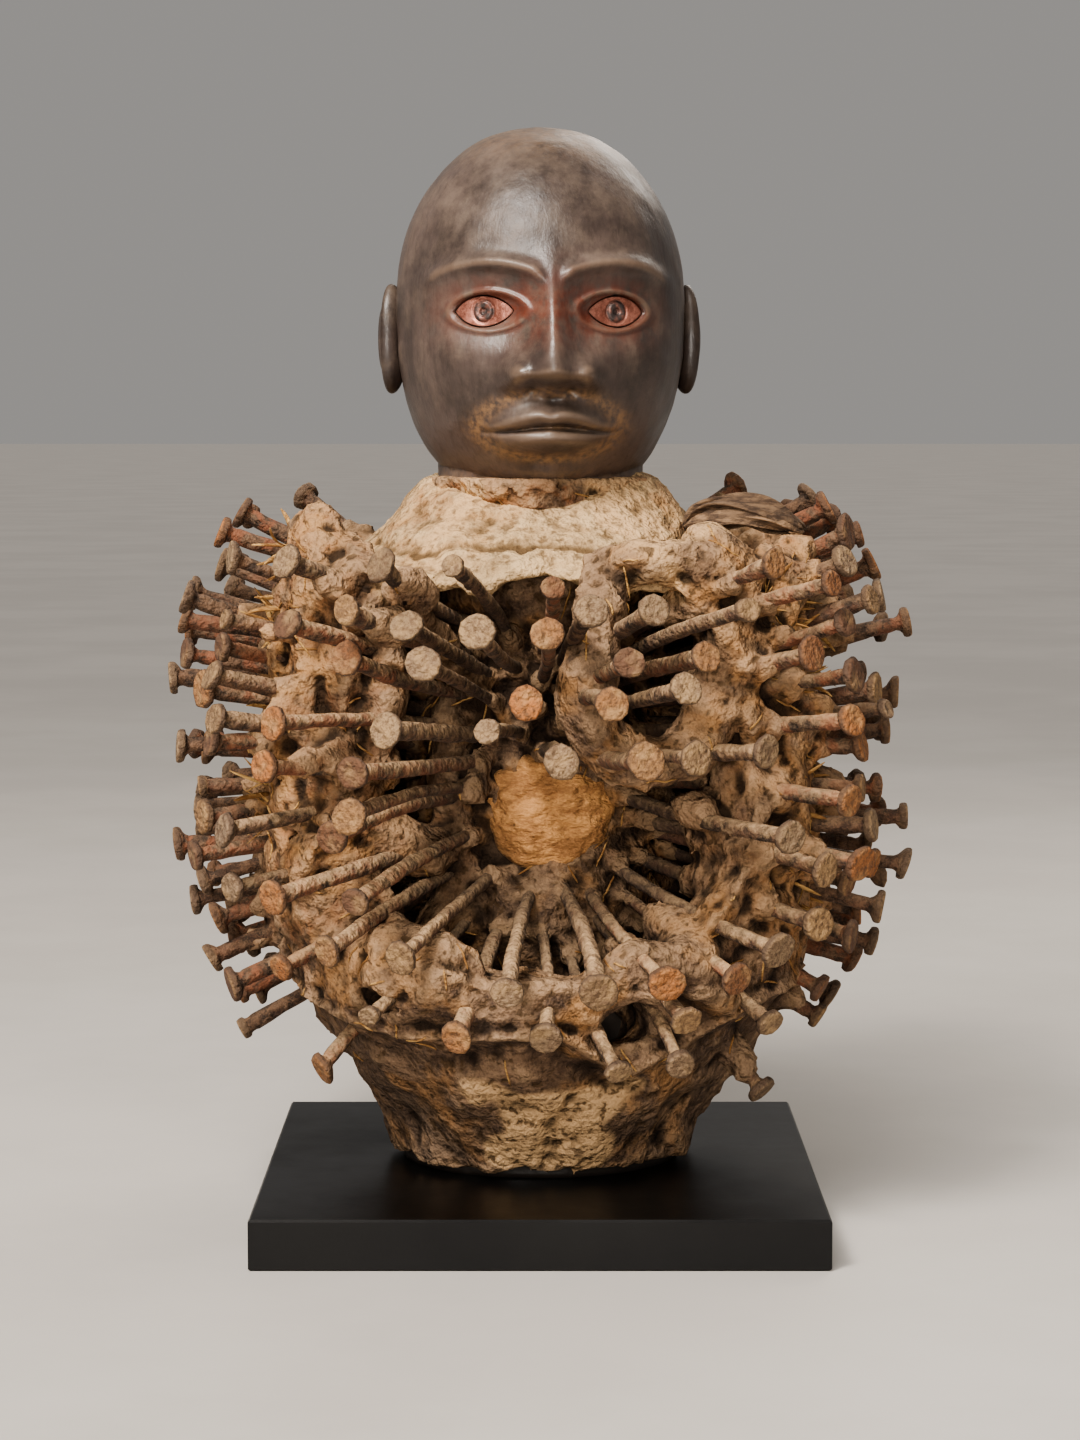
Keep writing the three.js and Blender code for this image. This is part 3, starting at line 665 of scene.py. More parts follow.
def grit_group():
    """The height of a crumbling surface: soft waves less round crumbs of uneven size. Pits marks the lowest
    places."""
    outputs = {"Height": "Float", "Pits": "Float"}
    nodes, given, made = new_group("grit", {"Vector": "Vector", "Scale": 200.0}, outputs)
    inputs = {"Vector": nodes.vector, "Scale": 170.0, "Detail": 5.0}
    warp = nodes.add("ShaderNodeTexNoise", inputs).outputs["Color"]
    bent = nodes.add("ShaderNodeVectorMath", {0: warp, "Scale": 0.006}, operation="SCALE").outputs[0]
    inputs = {"Vector": nodes.vectors("ADD", nodes.vector, bent), "Scale": given["Scale"]}
    crumbs = nodes.add("ShaderNodeTexVoronoi", inputs).outputs["Distance"]
    height = nodes.maths("SUBTRACT", nodes.noise(given["Scale"], 2.5), nodes.times(crumbs, 0.35))
    nodes.feed(made["Height"], height)
    nodes.feed(made["Pits"], nodes.spread(height, 0.27, 0.12))
    return nodes.tree


MOTTLE = mottle_group()
DUST = dust_group()
GRIT = grit_group()


def wood_material():
    """Old dark hardwood: brown with upright grain and a soft sheen, worn paler on its ridges, painted darker
    in its hollows as painted shade, and red and ochre earth round the eyes and the mouth where the piece's
    own values say so."""
    look = Look("carved_wood")
    look.mottle(22.0, "352c28", "52453f", 0.12)
    fibres = look.noise(520.0, 3.0, vector=look.stretched(1.0, 1.0, 0.16))
    look.coat("241b16", look.spread(fibres, 0.45, 0.72, 0.0, 0.3))
    look.coat("6b594b", look.spread(look.own("hollow"), 0.45, 0.2, 0.0, 0.7))
    # painted shade: the carving's hollows are painted near black
    look.coat("1f1713", look.spread(look.own("hollow"), 0.6, 0.9, 0.0, 0.6))
    look.coat("5c2c1d", look.patchy("red_earth", 150.0, 0.3, 0.6))
    look.coat("8a6a4a", look.patchy("ochre_earth", 420.0, 0.3, 0.7))
    look.dust(90.0, "8a7868", 0.28, 0.3)
    look.coat("2b2622", look.own("charred"))
    roughness = look.spread(look.noise(45.0), 0.3, 0.7, 0.34, 0.5)
    height = look.maths("ADD", look.times(fibres, 0.5), look.noise(160.0, 5.0))
    return look.finished(roughness, height, 0.3)


def clay_material(name, dark, light, pale, amount, umber_amount, pit_amount, sunk):
    """Dried earth: patches of two browns and of umber under a pale dust, with painted shade in its pits and
    hollows. Where the piece says golden it turns to ochre chaff, and where its rust value says so it turns to
    rust, which under the chin is painted shade. Where it says charred it turns dark; where it says deep,
    inside the wall, or where it faces the figure's axis, it is painted dark as painted shade."""
    look = Look(name)
    grit = look.group(GRIT, {"Scale": 300.0})
    look.mottle(60.0, dark, light, 0.8)
    look.coat("4d3b2e", look.spread(look.noise(26.0, 5.0, 0.7), 0.5, 0.62, 0.0, umber_amount))
    look.coat("a0754a", look.spread(look.noise(38.0), 0.52, 0.64, 0.0, 0.65))
    look.coat("a87f55", look.patchy("golden", 95.0, 0.35, 0.6))
    # the rust value is rust on the flanks and painted shade under the chin
    look.coat("8d5f40", look.patchy("rust_and_chin_shade", 130.0, 0.42, 0.62))
    look.dust(150.0, pale, amount, 0.35)
    # painted shade: faces turned towards the figure's axis, and the inside of the wall, are painted near
    # black
    outward = look.vectors("NORMALIZE", look.vectors("MULTIPLY", look.vector, (1, 1, 0)))
    normal = look.add("ShaderNodeNewGeometry").outputs["Normal"]
    facing = look.vectors("DOT_PRODUCT", outward, normal, "Value")
    inside = look.spread(facing, 0.0, -0.6, 0.0, 0.8)
    look.coat("2b221b", look.maths("MAXIMUM", look.times(look.own("deep"), 0.85), inside))
    # the pale value is a paler earth; in the bowl its colour is also made brighter as painted light, in place
    # of the light that the overhang keeps off
    look.coat("c6a37a", look.own("pale"))
    look.coat("806c5a", look.times(look.own("charred"), 0.75))
    # painted shade: darker in the grit's pits and, with the last colour, in the piece's hollows
    look.coat("4a3826", look.times(grit["Pits"], pit_amount))
    look.coat(sunk, look.spread(look.own("hollow"), 0.48, 0.8, 0.0, 0.9))
    look.coat(pale, look.spread(look.own("hollow"), 0.42, 0.15, 0.0, 0.4))
    return look.finished(0.95, grit["Height"], 3.2, specular=0.2)


def iron_material():
    """Rusted hand-made nails: dark iron and rust under beige dust, painted darker towards the root as painted
    shade inside the cage. tone sets each nail's own colour, cap marks its head, rim the edge of the head,
    outward how far out a place is, and dust says how dusty the nail is."""
    look = Look("nail_iron")
    grit = look.group(GRIT, {"Scale": 380.0})
    tone = look.own("tone")
    look.mottle(190.0, "2a1f18", "684f3c", 0.9)
    patches = look.spread(look.noise(120.0, 5.0, 0.7), 0.44, 0.58)
    look.coat("744832", look.times(look.spread(tone, 0.3, 0.85, 0.1, 1.0), patches))
    look.dust(260.0, "b59773", look.own("dust"), 0.4)
    # painted shade: each shank is painted darker towards its root, deep in the cage
    look.coat("3a2e25", look.spread(look.own("outward"), 0.8, 0.1, 0.0, 0.65))
    shank = look.base
    stops = look.add("ShaderNodeValToRGB", {"Fac": tone})
    elements = stops.color_ramp.elements
    for number, (code, place) in enumerate(NAIL_SHADES):
        element = elements[number] if number < 2 else elements.new(place)
        element.position = place
        element.color = colour(code)
    look.base = stops.outputs["Color"]
    look.coat("563f2d", look.spread(look.noise(600.0, 6.0, 0.8), 0.4, 0.56, 0.75, 0.0))
    look.coat("a3855e", look.spread(look.noise(150.0, 3.0), 0.45, 0.7, 0.0, 0.45))
    look.coat("4b3a2e", look.times(look.own("rim"), 0.75))
    look.base = look.blend(look.own("cap"), shank, look.base)
    return look.finished(0.9, grit["Height"], 2.0)


def copper_material():
    """Beaten copper plate: salmon red in patches, with a dark grey iris and a dark rim where the piece says
    so."""
    look = Look("eye_copper")
    look.mottle(170.0, "744538", "ad7564", 0.5)
    look.coat("4a4240", look.patchy("iris", 420.0, 0.25, 0.6))
    look.coat("2a1d18", look.own("rim"))
    return look.finished(0.42, look.noise(480.0), 0.35, metallic=0.55)


def resin_material():
    """Ochre resin: golden earth in soft patches, a little streaked across, painted darker in its pits as
    painted shade, and darker at its rim."""
    look = Look("belly_resin")
    look.vector = look.stretched(0.6, 1.0, 1.3)
    look.mottle(95.0, "91663e", "c6935d", 0.7)
    height = look.noise(260.0, 3.0)
    # painted shade: darker where the bump is lowest
    look.coat("7d5634", look.spread(height, 0.45, 0.3, 0.0, 0.6))
    look.coat("6b4f30", look.times(look.own("rim"), 0.7))
    return look.finished(0.9, height, 3.5)


def fibre_material(name, dark, light):
    """Dry plant fibre, streaked along each blade."""
    look = Look(name)
    look.vector = look.stretched(0.25, 0.6, 1.0)
    look.mottle(420.0, dark, light, 0.3)
    look.coat(dark, look.spread(look.own("tone"), 0.2, 0.9, 0.0, 0.7))
    return look.finished(0.9, look.noise(900.0, 3.0), 0.8)


def plinth_material():
    """Satin black: near black with a faint brown and a slightly uneven sheen."""
    look = Look("plinth_black")
    look.mottle(9.0, "080707", "0e0d0c", 0.1)
    roughness = look.spread(look.noise(14.0, 6.0), 0.3, 0.7, 0.3, 0.42)
    return look.finished(roughness, look.noise(900.0, 3.0), 0.03, specular=0.25)


def floor_material():
    """A plain pale floor."""
    look = Look("pale_floor")
    look.mottle(3.0, "b3aea8", "bbb6b0", 0.05)
    return look.finished(0.6)


def surface_net(field, axes):
    """The surface where the field crosses zero, as a surface net: one point in each cell that it crosses, at
    the mean of its crossings of the cell's edges, and one quad across each edge that it crosses."""
    inside = field < 0
    cells = tuple(size - 1 for size in field.shape)
    offsets = np.array(list(np.ndindex(2, 2, 2)))
    count = np.zeros(cells, np.int8)
    for offset in offsets:
        count += inside[tuple(slice(a, a + size) for a, size in zip(offset, cells))]
    places = np.argwhere((count > 0) & (count < 8))
    corner = places[:, None] + offsets
    values = field[corner[..., 0], corner[..., 1], corner[..., 2]]
    total = np.zeros((len(places), 3))
    crossings = np.zeros((len(places), 1))
    for axis in range(3):
        for first in np.flatnonzero(offsets[:, axis] == 0):
            second = first + (4 >> axis)
            low, high = values[:, first], values[:, second]
            crossed = (low < 0) != (high < 0)
            share = np.where(crossed, low / np.where(crossed, low - high, 1), 0)
            point = offsets[first] + share[:, None] * (offsets[second] - offsets[first])
            total += np.where(crossed[:, None], point, 0)
            crossings += crossed[:, None]
    start, following = (np.array([axis.ravel()[place] for axis in axes]) for place in (0, 1))
    points = start + (following - start) * (places + total / crossings)
    number = np.full(cells, -1, np.int32)
    number[tuple(places.T)] = np.arange(len(places))
    quads = []
    for axis in range(3):
        back, side = np.roll(np.eye(3, dtype=int), -axis - 1, axis=0)[:2]
        inner = tuple(slice(None) if other == axis else slice(1, -1) for other in range(3))
        edge = np.argwhere(np.diff(inside[inner], axis=axis)) + back + side
        ring = [number[tuple((edge - shift).T)] for shift in (back + side, side, 0, back)]
        quad = np.stack(ring, axis=-1)
        outward = inside[tuple(edge.T)]
        quads.append(np.where(outward[:, None], quad, quad[:, ::-1]))
    return points, np.concatenate(quads)


def large_parts(points, quads):
    """Keeps the connected parts with at least one in a hundred of the points: each point takes the lowest
    number among its neighbours until none changes."""
    start, end = quad_edges(quads).T
    label = np.arange(len(points))
    while True:
        lowest = label.copy()
        smaller = np.minimum(label[start], label[end])
        np.minimum.at(lowest, start, smaller)
        np.minimum.at(lowest, end, smaller)
        lowest = lowest[lowest]
        if np.array_equal(lowest, label):
            break
        label = lowest
    kept = np.bincount(label)[label] > 0.01 * len(points)
    renumbered = np.cumsum(kept) - 1
    return points[kept], renumbered[quads[kept[quads[:, 0]]]]


def smooth_min(first, second, width):
    """The lower of two fields, with a fillet of the given width where they meet."""
    near = np.maximum(width - np.abs(first - second), 0)
    return np.minimum(first, second) - near * near / (4 * width)


def grid_axes(low, high, step):
    """The three axes of a regular grid, shaped so that they spread over one another."""
    return np.ogrid[tuple(slice(a, b, step) for a, b in zip(low, high))]


def join_capsule(field, axes, start, end, radii, fillet):
    """Joins a rod with round ends to a field: the distance to the line from start to end, less a radius that
    goes evenly from the first to the second."""
    reach = max(radii) + fillet + 2
    low, high = np.minimum(start, end) - reach, np.maximum(start, end) + reach
    window = tuple(slice(*np.searchsorted(axis.ravel(), (a, b))) for axis, a, b in zip(axes, low, high))
    if min(part.stop - part.start for part in window) < 1:
        return
    x, y, z = np.ix_(*(axis.ravel()[part] - begin for axis, part, begin in zip(axes, window, start)))
    run = end - start
    share = np.clip((x * run[0] + y * run[1] + z * run[2]) / (run @ run), 0, 1)
    distance = np.sqrt((x - share * run[0]) ** 2 + (y - share * run[1]) ** 2 + (z - share * run[2]) ** 2)
    distance = distance - radii[0] - (radii[1] - radii[0]) * share
    field[window] = smooth_min(field[window], distance, fillet)


def clay_wave(bearing, height):
    """Height of the clay above its even surface, in waves and hand-laid lumps."""
    waves = 2 * np.sin(3 * bearing + height / 23) + 1.4 * np.sin(7 * bearing - height / 11)
    for lump_bearing, lump_height, width, tall, reach in CLAY_LUMPS:
        away = bearing - math.radians(lump_bearing)
        waves = waves + reach * bell(away, math.radians(width)) * bell(height - lump_height, tall)
    return waves


def bare_wood(degree, height, rough):
    """Where the clay of the foot has worn down to the dark wood: two patches in front and some behind."""
    share = 0.4 * rough + 0.85 * bell(degree + 47, 15) + 0.85 * bell(degree - 52, 11)
    behind = ramp(75, 110, np.abs(degree)) * np.sin(np.radians(5 * degree))
    return ramp(0.35, 0.55, share + 0.6 * behind) * ramp(34, 25, height)


def wall_field(axes):
    """The wall of clay: between an outer and an inner radius that change with height, under an uneven crest,
    less rounded openings and holes where a broad noise is high."""
    x, y, z = axes
    radius, bearing, degree = about_axis(x, y)
    lip = along(BOWL_LIP, degree)
    fronted = ramp(85, 60, np.abs(degree))
    outer = along(CLAY_OUTSIDE, z) + ramp(0, 40, z) * clay_wave(bearing, z)
    outer = outer + fronted * (4.5 * bell(z - lip, 1.8) - 3 * bell(z - lip + 8, 5))
    broad = grid_noise(axes, 31.0, 5)
    middle = grid_noise(axes, 14.0, 6)
    outer = outer + 3.2 * broad + 2.2 * middle
    outer = outer - 3 * bare_wood(degree, z, grid_noise(axes, 15.0, 8))
    inner = along(CLAY_INSIDE, z) - 4 * broad
    crest = 12 * bell(bearing + 1.1, 0.26) + 8 * bell(bearing - 0.95, 0.4) + 2 * np.sin(5 * bearing)
    field = np.maximum(radius - outer, inner - radius)
    field = np.maximum(field, z - CLAY_TOP - crest)
    field = np.maximum(field, CLAY_BOTTOM - z)
    for middle_bearing, height, half_spread, half_tall in OPENINGS:
        turn = np.abs((degree - middle_bearing + 180) % 360 - 180) / half_spread
        up = np.abs(z - height) / half_tall
        share = (turn**SQUARENESS + up**SQUARENESS) ** (1 / SQUARENESS)
        hole = (share - 1) * min(half_tall, math.radians(half_spread) * 90) + 1.5 * middle
        hole = np.where(z > OPENINGS_FROM, hole, OUTSIDE)
        hole = np.maximum(hole, inner - 8 - radius)
        field = np.maximum(field, -hole)
    open_side = bell(degree - 57, 19) * ramp(78, 92, z) * ramp(208, 192, z)
    gaps = 16 * (0.42 - 0.42 * open_side - grid_noise(axes, 27.0, 11) - 0.25 * middle)
    gaps = gaps + 30 * ramp(78, 66, z) + 20 * ramp(206, 216, z)
    return np.maximum(field, -gaps), radius, bearing


def clay_field(axes, nails):
    """All of the clay: the wall, the crust on the trunk, straps and pillars, and a fillet round each nail."""
    field, radius, bearing = wall_field(axes)
    z = axes[2]
    swell = 7.5 * bell(bearing, 0.8) * bell(z - 94, 12) + 4 * bell(bearing + 0.8, 0.25) * bell(z - 128, 26)
    trunk = along(BODY_PROFILE, z) + CRUST_THICKNESS + swell + 1.6 * grid_noise(axes, 12.0, 21)
    patch = bell(bearing - BELLY_BEARING, 0.62) * bell(z - BELLY_HEIGHT, 21)
    core = np.maximum(radius - trunk + 2.5 * patch, CRUST_LOWEST - z)
    field = smooth_min(field, np.maximum(core, z - CRUST_HIGHEST), 5).astype(np.float32)
    for stations, size in CLAY_STRAPS:
        path = station_path(stations, 3 * len(stations))
        for start, end in zip(path[:-1], path[1:]):
            join_capsule(field, axes, start, end, (size, size), 4)
    shares = np.random.default_rng(NAIL_CLAY).uniform(0, 1, (len(nails["root"]), 6))
    for root, top, (one, two, three, lump, place, length) in zip(nails["root"], nails["top"], shares):
        run = unit(top - root)
        join_capsule(field, axes, root - 4 * run, root + (5 + 9 * one) * run, ROOT_CLAY, 3)
        reach = np.linalg.norm(top - root)
        wall = reach * (WALL_RADIUS - TRUNK_RADIUS) / (NAIL_REACH - TRUNK_RADIUS)
        tip = wall + 14 + 13 * two
        if not passes_window(root + wall * run) and top[2] > 62:
            radii = (WALL_CLAY[0], WALL_CLAY[1] + 0.6 * three)
            join_capsule(field, axes, root + (wall - 6) * run, root + tip * run, radii, 5)
        if lump < LUMPED_SHARE and not in_front(root):
            start = (0.45 + 0.25 * place) * reach
            end = start + 6 + 9 * length
            join_capsule(field, axes, root + start * run, root + end * run, LUMP_CLAY, 4)
    field += 1.9 * flaked(axes, 13.0, 41) + 1.1 * flaked(axes, 7.0, 46) - 0.7 * creased(axes, 7.0, 42)
    return field + 0.9 * grid_noise(axes, 4.0, 43) + grain(field.shape, 0.6, 44)


def in_front(point):
    """Whether a nail's root stands before the middle of the front window, where the nails are bare."""
    return abs(about_axis(point[0], point[1])[2]) < BARE_BEARING


def passes_window(point):
    """Whether a point on a nail stands in the front window."""
    middle, height, half_spread, half_tall = OPENINGS[0]
    turn = abs(about_axis(point[0], point[1])[2] - middle) / half_spread
    return turn**SQUARENESS + (abs(point[2] - height) / half_tall) ** SQUARENESS < 1


def collar_field(axes):
    """The mantle of clay round the neck: under a slope that falls from the neck to a ragged rim, of even
    depth, with a fold round its front."""
    x, y, z = axes
    radius, bearing, degree = about_axis(x, y)
    degree = np.abs(degree)
    broad = grid_noise(axes, 26.0, 51)
    middle = grid_noise(axes, 11.0, 52)
    dip = COLLAR_FRONT_DIP * bell(bearing, 1) * ramp(72, 40, radius)
    top = along(COLLAR_TOP, radius) - dip + 2.2 * broad + 1.0 * middle
    rim = COLLAR_RADIUS + 14 * ramp(70, 105, degree)
    rim = rim + 15 * bell(bearing - 0.95, 0.3) + 8 * bell(bearing + 0.7, 0.3)
    rim = rim + 4 * broad + 3.5 * middle
    depth = COLLAR_THICKNESS - 3 * ramp(rim - 14, rim, radius) + 3 * middle
    field = np.maximum(z - top, top - depth - z)
    field = -smooth_min(-field, -(radius - rim), 6)
    field = np.maximum(field, NECK_RADIUS - 3 - radius)
    field = field + 1.8 * bell(radius - 57 - 7 * broad - 3 * middle, 1.8) * ramp(100, 60, degree)
    field = field + 1.3 * flaked(axes, 12.0, 53) + 0.7 * flaked(axes, 6.5, 55)
    field = field + 0.7 * grid_noise(axes, 3.6, 54)
    return (field + grain(field.shape, 0.5, 56)).astype(np.float32)


def padded_field(field):
    """The field with its outermost layer outside the solid, so that the surface closes."""
    padded = np.full_like(field, PADDING)
    padded[1:-1, 1:-1, 1:-1] = field[1:-1, 1:-1, 1:-1]
    return padded


def clay_tints(points):
    """Where the clay is golden with chaff, rust-coloured (under the chin a painted shade), painted dark
    inside the wall as painted shade, pale, and dark with bare wood.
    """
    radius, _, degree = about_axis(points[:, 0], points[:, 1])
    height = points[:, 2]
    golden = bell(degree + 64, 16) * ramp(95, 130, height) + bell(degree - 66, 20) * ramp(70, 100, height)
    golden = golden + 0.8 * bell(degree + 34, 14) * bell(height - 80, 12)
    golden = golden + bell(degree + 50, 11) * bell(height - 112, 13)
    rust_and_chin_shade = (0.7 * bell(degree - 74, 22) + 0.5 * bell(degree + 60, 25)) * ramp(60, 90, height)
    # painted shade: the collar's top under the chin is browned where the chin's shadow falls
    rust_and_chin_shade = rust_and_chin_shade + 0.5 * ramp(52, 40, radius) * ramp(225, 232, height) * ramp(70, 40, np.abs(degree))
    # painted shade: the inner side of the wall, less of it behind the front window
    deep = 0.9 * ramp(74, 57, radius) * ramp(42, 50, radius) * ramp(52, 72, height) * ramp(208, 196, height)
    deep = deep * (1 - 0.75 * bell(degree + 8, 42) * bell(height - 112, 32))
    ragged = point_noise(points, 9.0, 88)
    # the bowl's pale patch: paler earth, also brightened as painted light
    patch = bell(degree - 5, 27) + 0.3 * ragged
    pale = ramp(0.46, 0.6, patch) * ramp(0.3, 0.5, ramp(46, 26, height) + 0.3 * ragged)
    shoulder = bell(degree - 40, 19) + 0.8 * bell(degree + 36, 10)
    shoulder = ramp(0.4, 0.7, shoulder * ramp(190, 203, height) * ramp(90, 82, radius) + 0.25 * ragged)
    pale = np.maximum(pale, 0.8 * shoulder)
    charred = bare_wood(degree, height, point_noise(points, 15.0, 8))
    charred = np.maximum(0.7 * charred, 0.2 * ramp(0.46, 0.3, patch) * ramp(56, 44, height))
    golden = np.clip(golden, 0, 1)
    return {"golden": golden, "rust_and_chin_shade": rust_and_chin_shade, "deep": deep, "pale": 0.9 * pale, "charred": charred}


def add_clay(name, field, axes, material):
    """A piece of clay from its field."""
    points, quads = large_parts(*surface_net(padded_field(field), axes))
    attributes = {"hollow": hollows(points, quads), **clay_tints(points)}
    piece = add_piece(name, points, [quads], material, attributes)
    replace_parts(piece, "clay_crust")
    return piece


def sector(axes, start, end):
    """A field that is below zero between two bearings: the greater of the distances to the two planes through
    the axis, with a ragged edge."""
    x, y, _ = axes
    after_start, after_end = (x * math.cos(angle) + y * math.sin(angle) for angle in np.radians([start, end]))
    return np.maximum(-after_start, after_end) + 2 * grid_noise(axes, 9.0, 45)


def add_cage(axes, nails, material):
    """The cage of clay in three sectors. Each later one runs on under the ones before, a little below their
    surface. Returns the front one."""
    field = clay_field(axes, nails)
    pieces = []
    for name, start, end in CLAY_SECTORS:
        cut = sector(axes, start, end)
        overlap = SEAM_OVERLAP if pieces else 0
        pieces.append(add_clay("clay_" + name, np.maximum(field, cut - overlap), axes, material))
        field = field + SEAM_DEPTH * ramp(0, -1.5, cut)
    return pieces[0]


def even_shares(seed):
    """Numbers between 0 and 1 that look random and come out the same every time."""
    while True:
        seed = (seed * 16807) % 2147483647
        yield seed / 2147483647


def push_apart(bearings, heights, radius, spacing, passes=60):
    """Moves neighbours apart over a round surface, pair by pair, until each pair keeps the spacing."""
    for _ in range(passes):
        for i in range(len(bearings)):
            for k in range(i + 1, len(bearings)):
                up = heights[k] - heights[i]
                if abs(up) >= spacing:
                    continue
                turn = bearings[k] - bearings[i]
                side = radius * math.atan2(math.sin(turn), math.cos(turn))
                apart = math.hypot(side, up)
                if apart < spacing:
                    push = 0.5 * (spacing - apart) / max(apart, 0.1)
                    bearings[i] -= push * side / radius
                    bearings[k] += push * side / radius
                    heights[i] -= push * up
                    heights[k] += push * up


def settle_apart(bearings, heights, fixed, radius, spacing, passes=80):
    """Moves all but the first, fixed, places away from their neighbours, all at once in each pass."""
    for _ in range(passes):
        turn = bearings[:, None] - bearings[None]
        side = radius * np.arctan2(np.sin(turn), np.cos(turn))
        up = heights[:, None] - heights[None]
        apart = np.hypot(side, up) + 1e3 * np.eye(len(bearings))
        push = 0.35 * np.maximum(spacing - apart, 0) / np.maximum(apart, 0.1)
        bearings[fixed:] += (push * side).sum(axis=1)[fixed:] / radius
        heights[fixed:] += (push * up).sum(axis=1)[fixed:]
    return bearings, heights


def nail_draws(shares, bearing, height, drift):
    """One nail's bearing and height at its head and at its root, its reach and its head's diameter, drawn in
    a fixed order."""
    head_bearing = math.radians(bearing + drift * (next(shares) - 0.5))
    head_height = height + drift * (next(shares) - 0.5)
    lowered = NAIL_SPREAD_HEIGHT + NAIL_SPREAD * (head_height - NAIL_SPREAD_HEIGHT)
    root_bearing = head_bearing + 0.12 * (next(shares) - 0.5)
    root_height = max(TRUNK_BOTTOM + 8, lowered) + 3 * (next(shares) - 0.5)
    reach = NAIL_REACH * float(along(REACH_PROFILE, head_height)) * (1 + 0.1 * (next(shares) - 0.6))
    size = NAIL_HEAD_DIAMETER * (1 - 0.2 * next(shares) ** 2)
    return [head_bearing, head_height, root_bearing, root_height, reach, size]


def nail_layout():
    """Every nail: where it enters the trunk, where the top of its head is and how wide the head is. The nails
    of the model come first, then those of the scene alone."""
    shares = even_shares(NAIL_PLACES)
    rows = [nail_draws(shares, bearing, height, 0) for height, bearings in FRONT_ROWS for bearing in bearings]
    step = (BACK_END - BACK_START) / BACK_NAILS
    for row in range(BACK_ROWS):
        height = BACK_LOWEST + (BACK_HIGHEST - BACK_LOWEST) * row / (BACK_ROWS - 1)
        for number in range(BACK_NAILS):
            bearing = BACK_START + step * (number + (0.75 if row % 2 else 0.25))
            rows.append(nail_draws(shares, bearing, height, 8))
    columns = [list(column) for column in zip(*rows)]
    push_apart(columns[0], columns[1], NAIL_REACH, NAIL_SPACING)
    push_apart(columns[2], columns[3], TRUNK_RADIUS, ROOT_SPACING)
    fixed = len(rows)
    further = [nail_draws(shares, bearing, height, 0) for height, bearing in FURTHER_FRONT]
    for row, height in enumerate(np.linspace(FURTHER_LOWEST, FURTHER_HIGHEST, FURTHER_ROWS)):
        for bearing in FURTHER_BEARINGS:
            further.append(nail_draws(shares, bearing + FURTHER_SHIFT * (row % 2), height, 12))
    columns = np.concatenate([np.array(columns).T, np.array(further)]).T
    head_bearing, head_height = settle_apart(columns[0], columns[1], fixed, NAIL_REACH, NAIL_SPACING)
    root_bearing, root_height = settle_apart(columns[2], columns[3], fixed, TRUNK_RADIUS, 0.8 * ROOT_SPACING)
    reach, size = columns[4:]
    root = polar(along(BODY_PROFILE, root_height), root_bearing, root_height)
    top = polar(reach, head_bearing, head_height)
    return {"root": root, "top": top, "size": size, "bearing": head_bearing, "fixed": fixed}


# Rings of a nail's head: distance back from its top and share of its radius
HEAD_RINGS = np.array([
    [5.2, 0.42], [4.0, 0.52], [3.2, 0.68], [2.7, 0.93], [1.9, 1.0], [0.9, 1.0], [0.2, 0.93], [0.0, 0.78],
    [0.2, 0.45],
])
NECK_RINGS = 3


def nail_rings(nails, chosen, steps, corners):
    """The rings of the chosen nails, root first. A nail is a rod with four weak corners, thinner towards its
    root and bent a little to one side, that flares under a flat, slightly tilted head. Its crust of rust is
    value noise at two sizes, added to its radius, rougher on some nails than on others."""
    draw = np.random.default_rng(NAIL_SHAPES)
    total = len(nails["root"])
    bend, tilt, shade = (draw.normal(0, width, (total, 2, 1, 1))[chosen] for width in (1.6, 0.11, 1.0))
    thick, broad, small, phase, rough = draw.uniform(0, 1, (5, total, 1, 1))[:, chosen]
    broad = (0.88 + 0.18 * broad) * np.where(small < 0.12, 0.72, 1) * 0.5 * nails["size"][chosen, None, None]
    root, top = nails["root"][chosen], nails["top"][chosen]
    length = np.linalg.norm(top - root, axis=-1)[:, None, None]
    first, second = (way[:, None, None] for way in across(unit(top - root)))
    direction = unit(top - root)[:, None, None]
    angle = np.linspace(0, 2 * math.pi, corners, endpoint=False)
    share = np.linspace(1, 0.08, steps)[:, None]
    square = 1 + 0.06 * np.cos(4 * angle + 6.28 * phase)
    shank = SHANK_RADIUS * (0.8 + 0.24 * thick) * (1 - 0.2 * share) * square
    uneven = 1 + 0.04 * np.sin(2 * angle + 6.28 * rough) + 0.03 * np.sin(5 * angle + shade[:, 0])
    head = np.maximum(broad * HEAD_RINGS[:, 1:] * uneven, 0.9 * shank[:, -1:])
    radius = np.concatenate([shank, head], axis=1)
    back = np.concatenate([share * length, HEAD_RINGS[:, :1] + 0 * length], axis=1)
    bow = np.sin(math.pi * np.clip(back / length, 0, 1))[..., None]
    middle = top[:, None, None] - back[..., None] * direction
    middle = middle + bow * (bend[:, :1] * first + bend[:, 1:] * second)
    cosine, sine = np.cos(angle)[:, None], np.sin(angle)[:, None]
    out = cosine * first + sine * second
    flat = (back < 3)[..., None] * (tilt[:, :1] * cosine + tilt[:, 1:] * sine)
    points = middle + radius[..., None] * (out + flat * direction)
    crust = (0.25 + 0.75 * rough) * point_noise(points, 6.0, 91) + 0.35 * point_noise(points, 2.3, 92)
    crust = crust * np.where(back > 3, 0.6, 0.3)
    return points + crust[..., None] * out


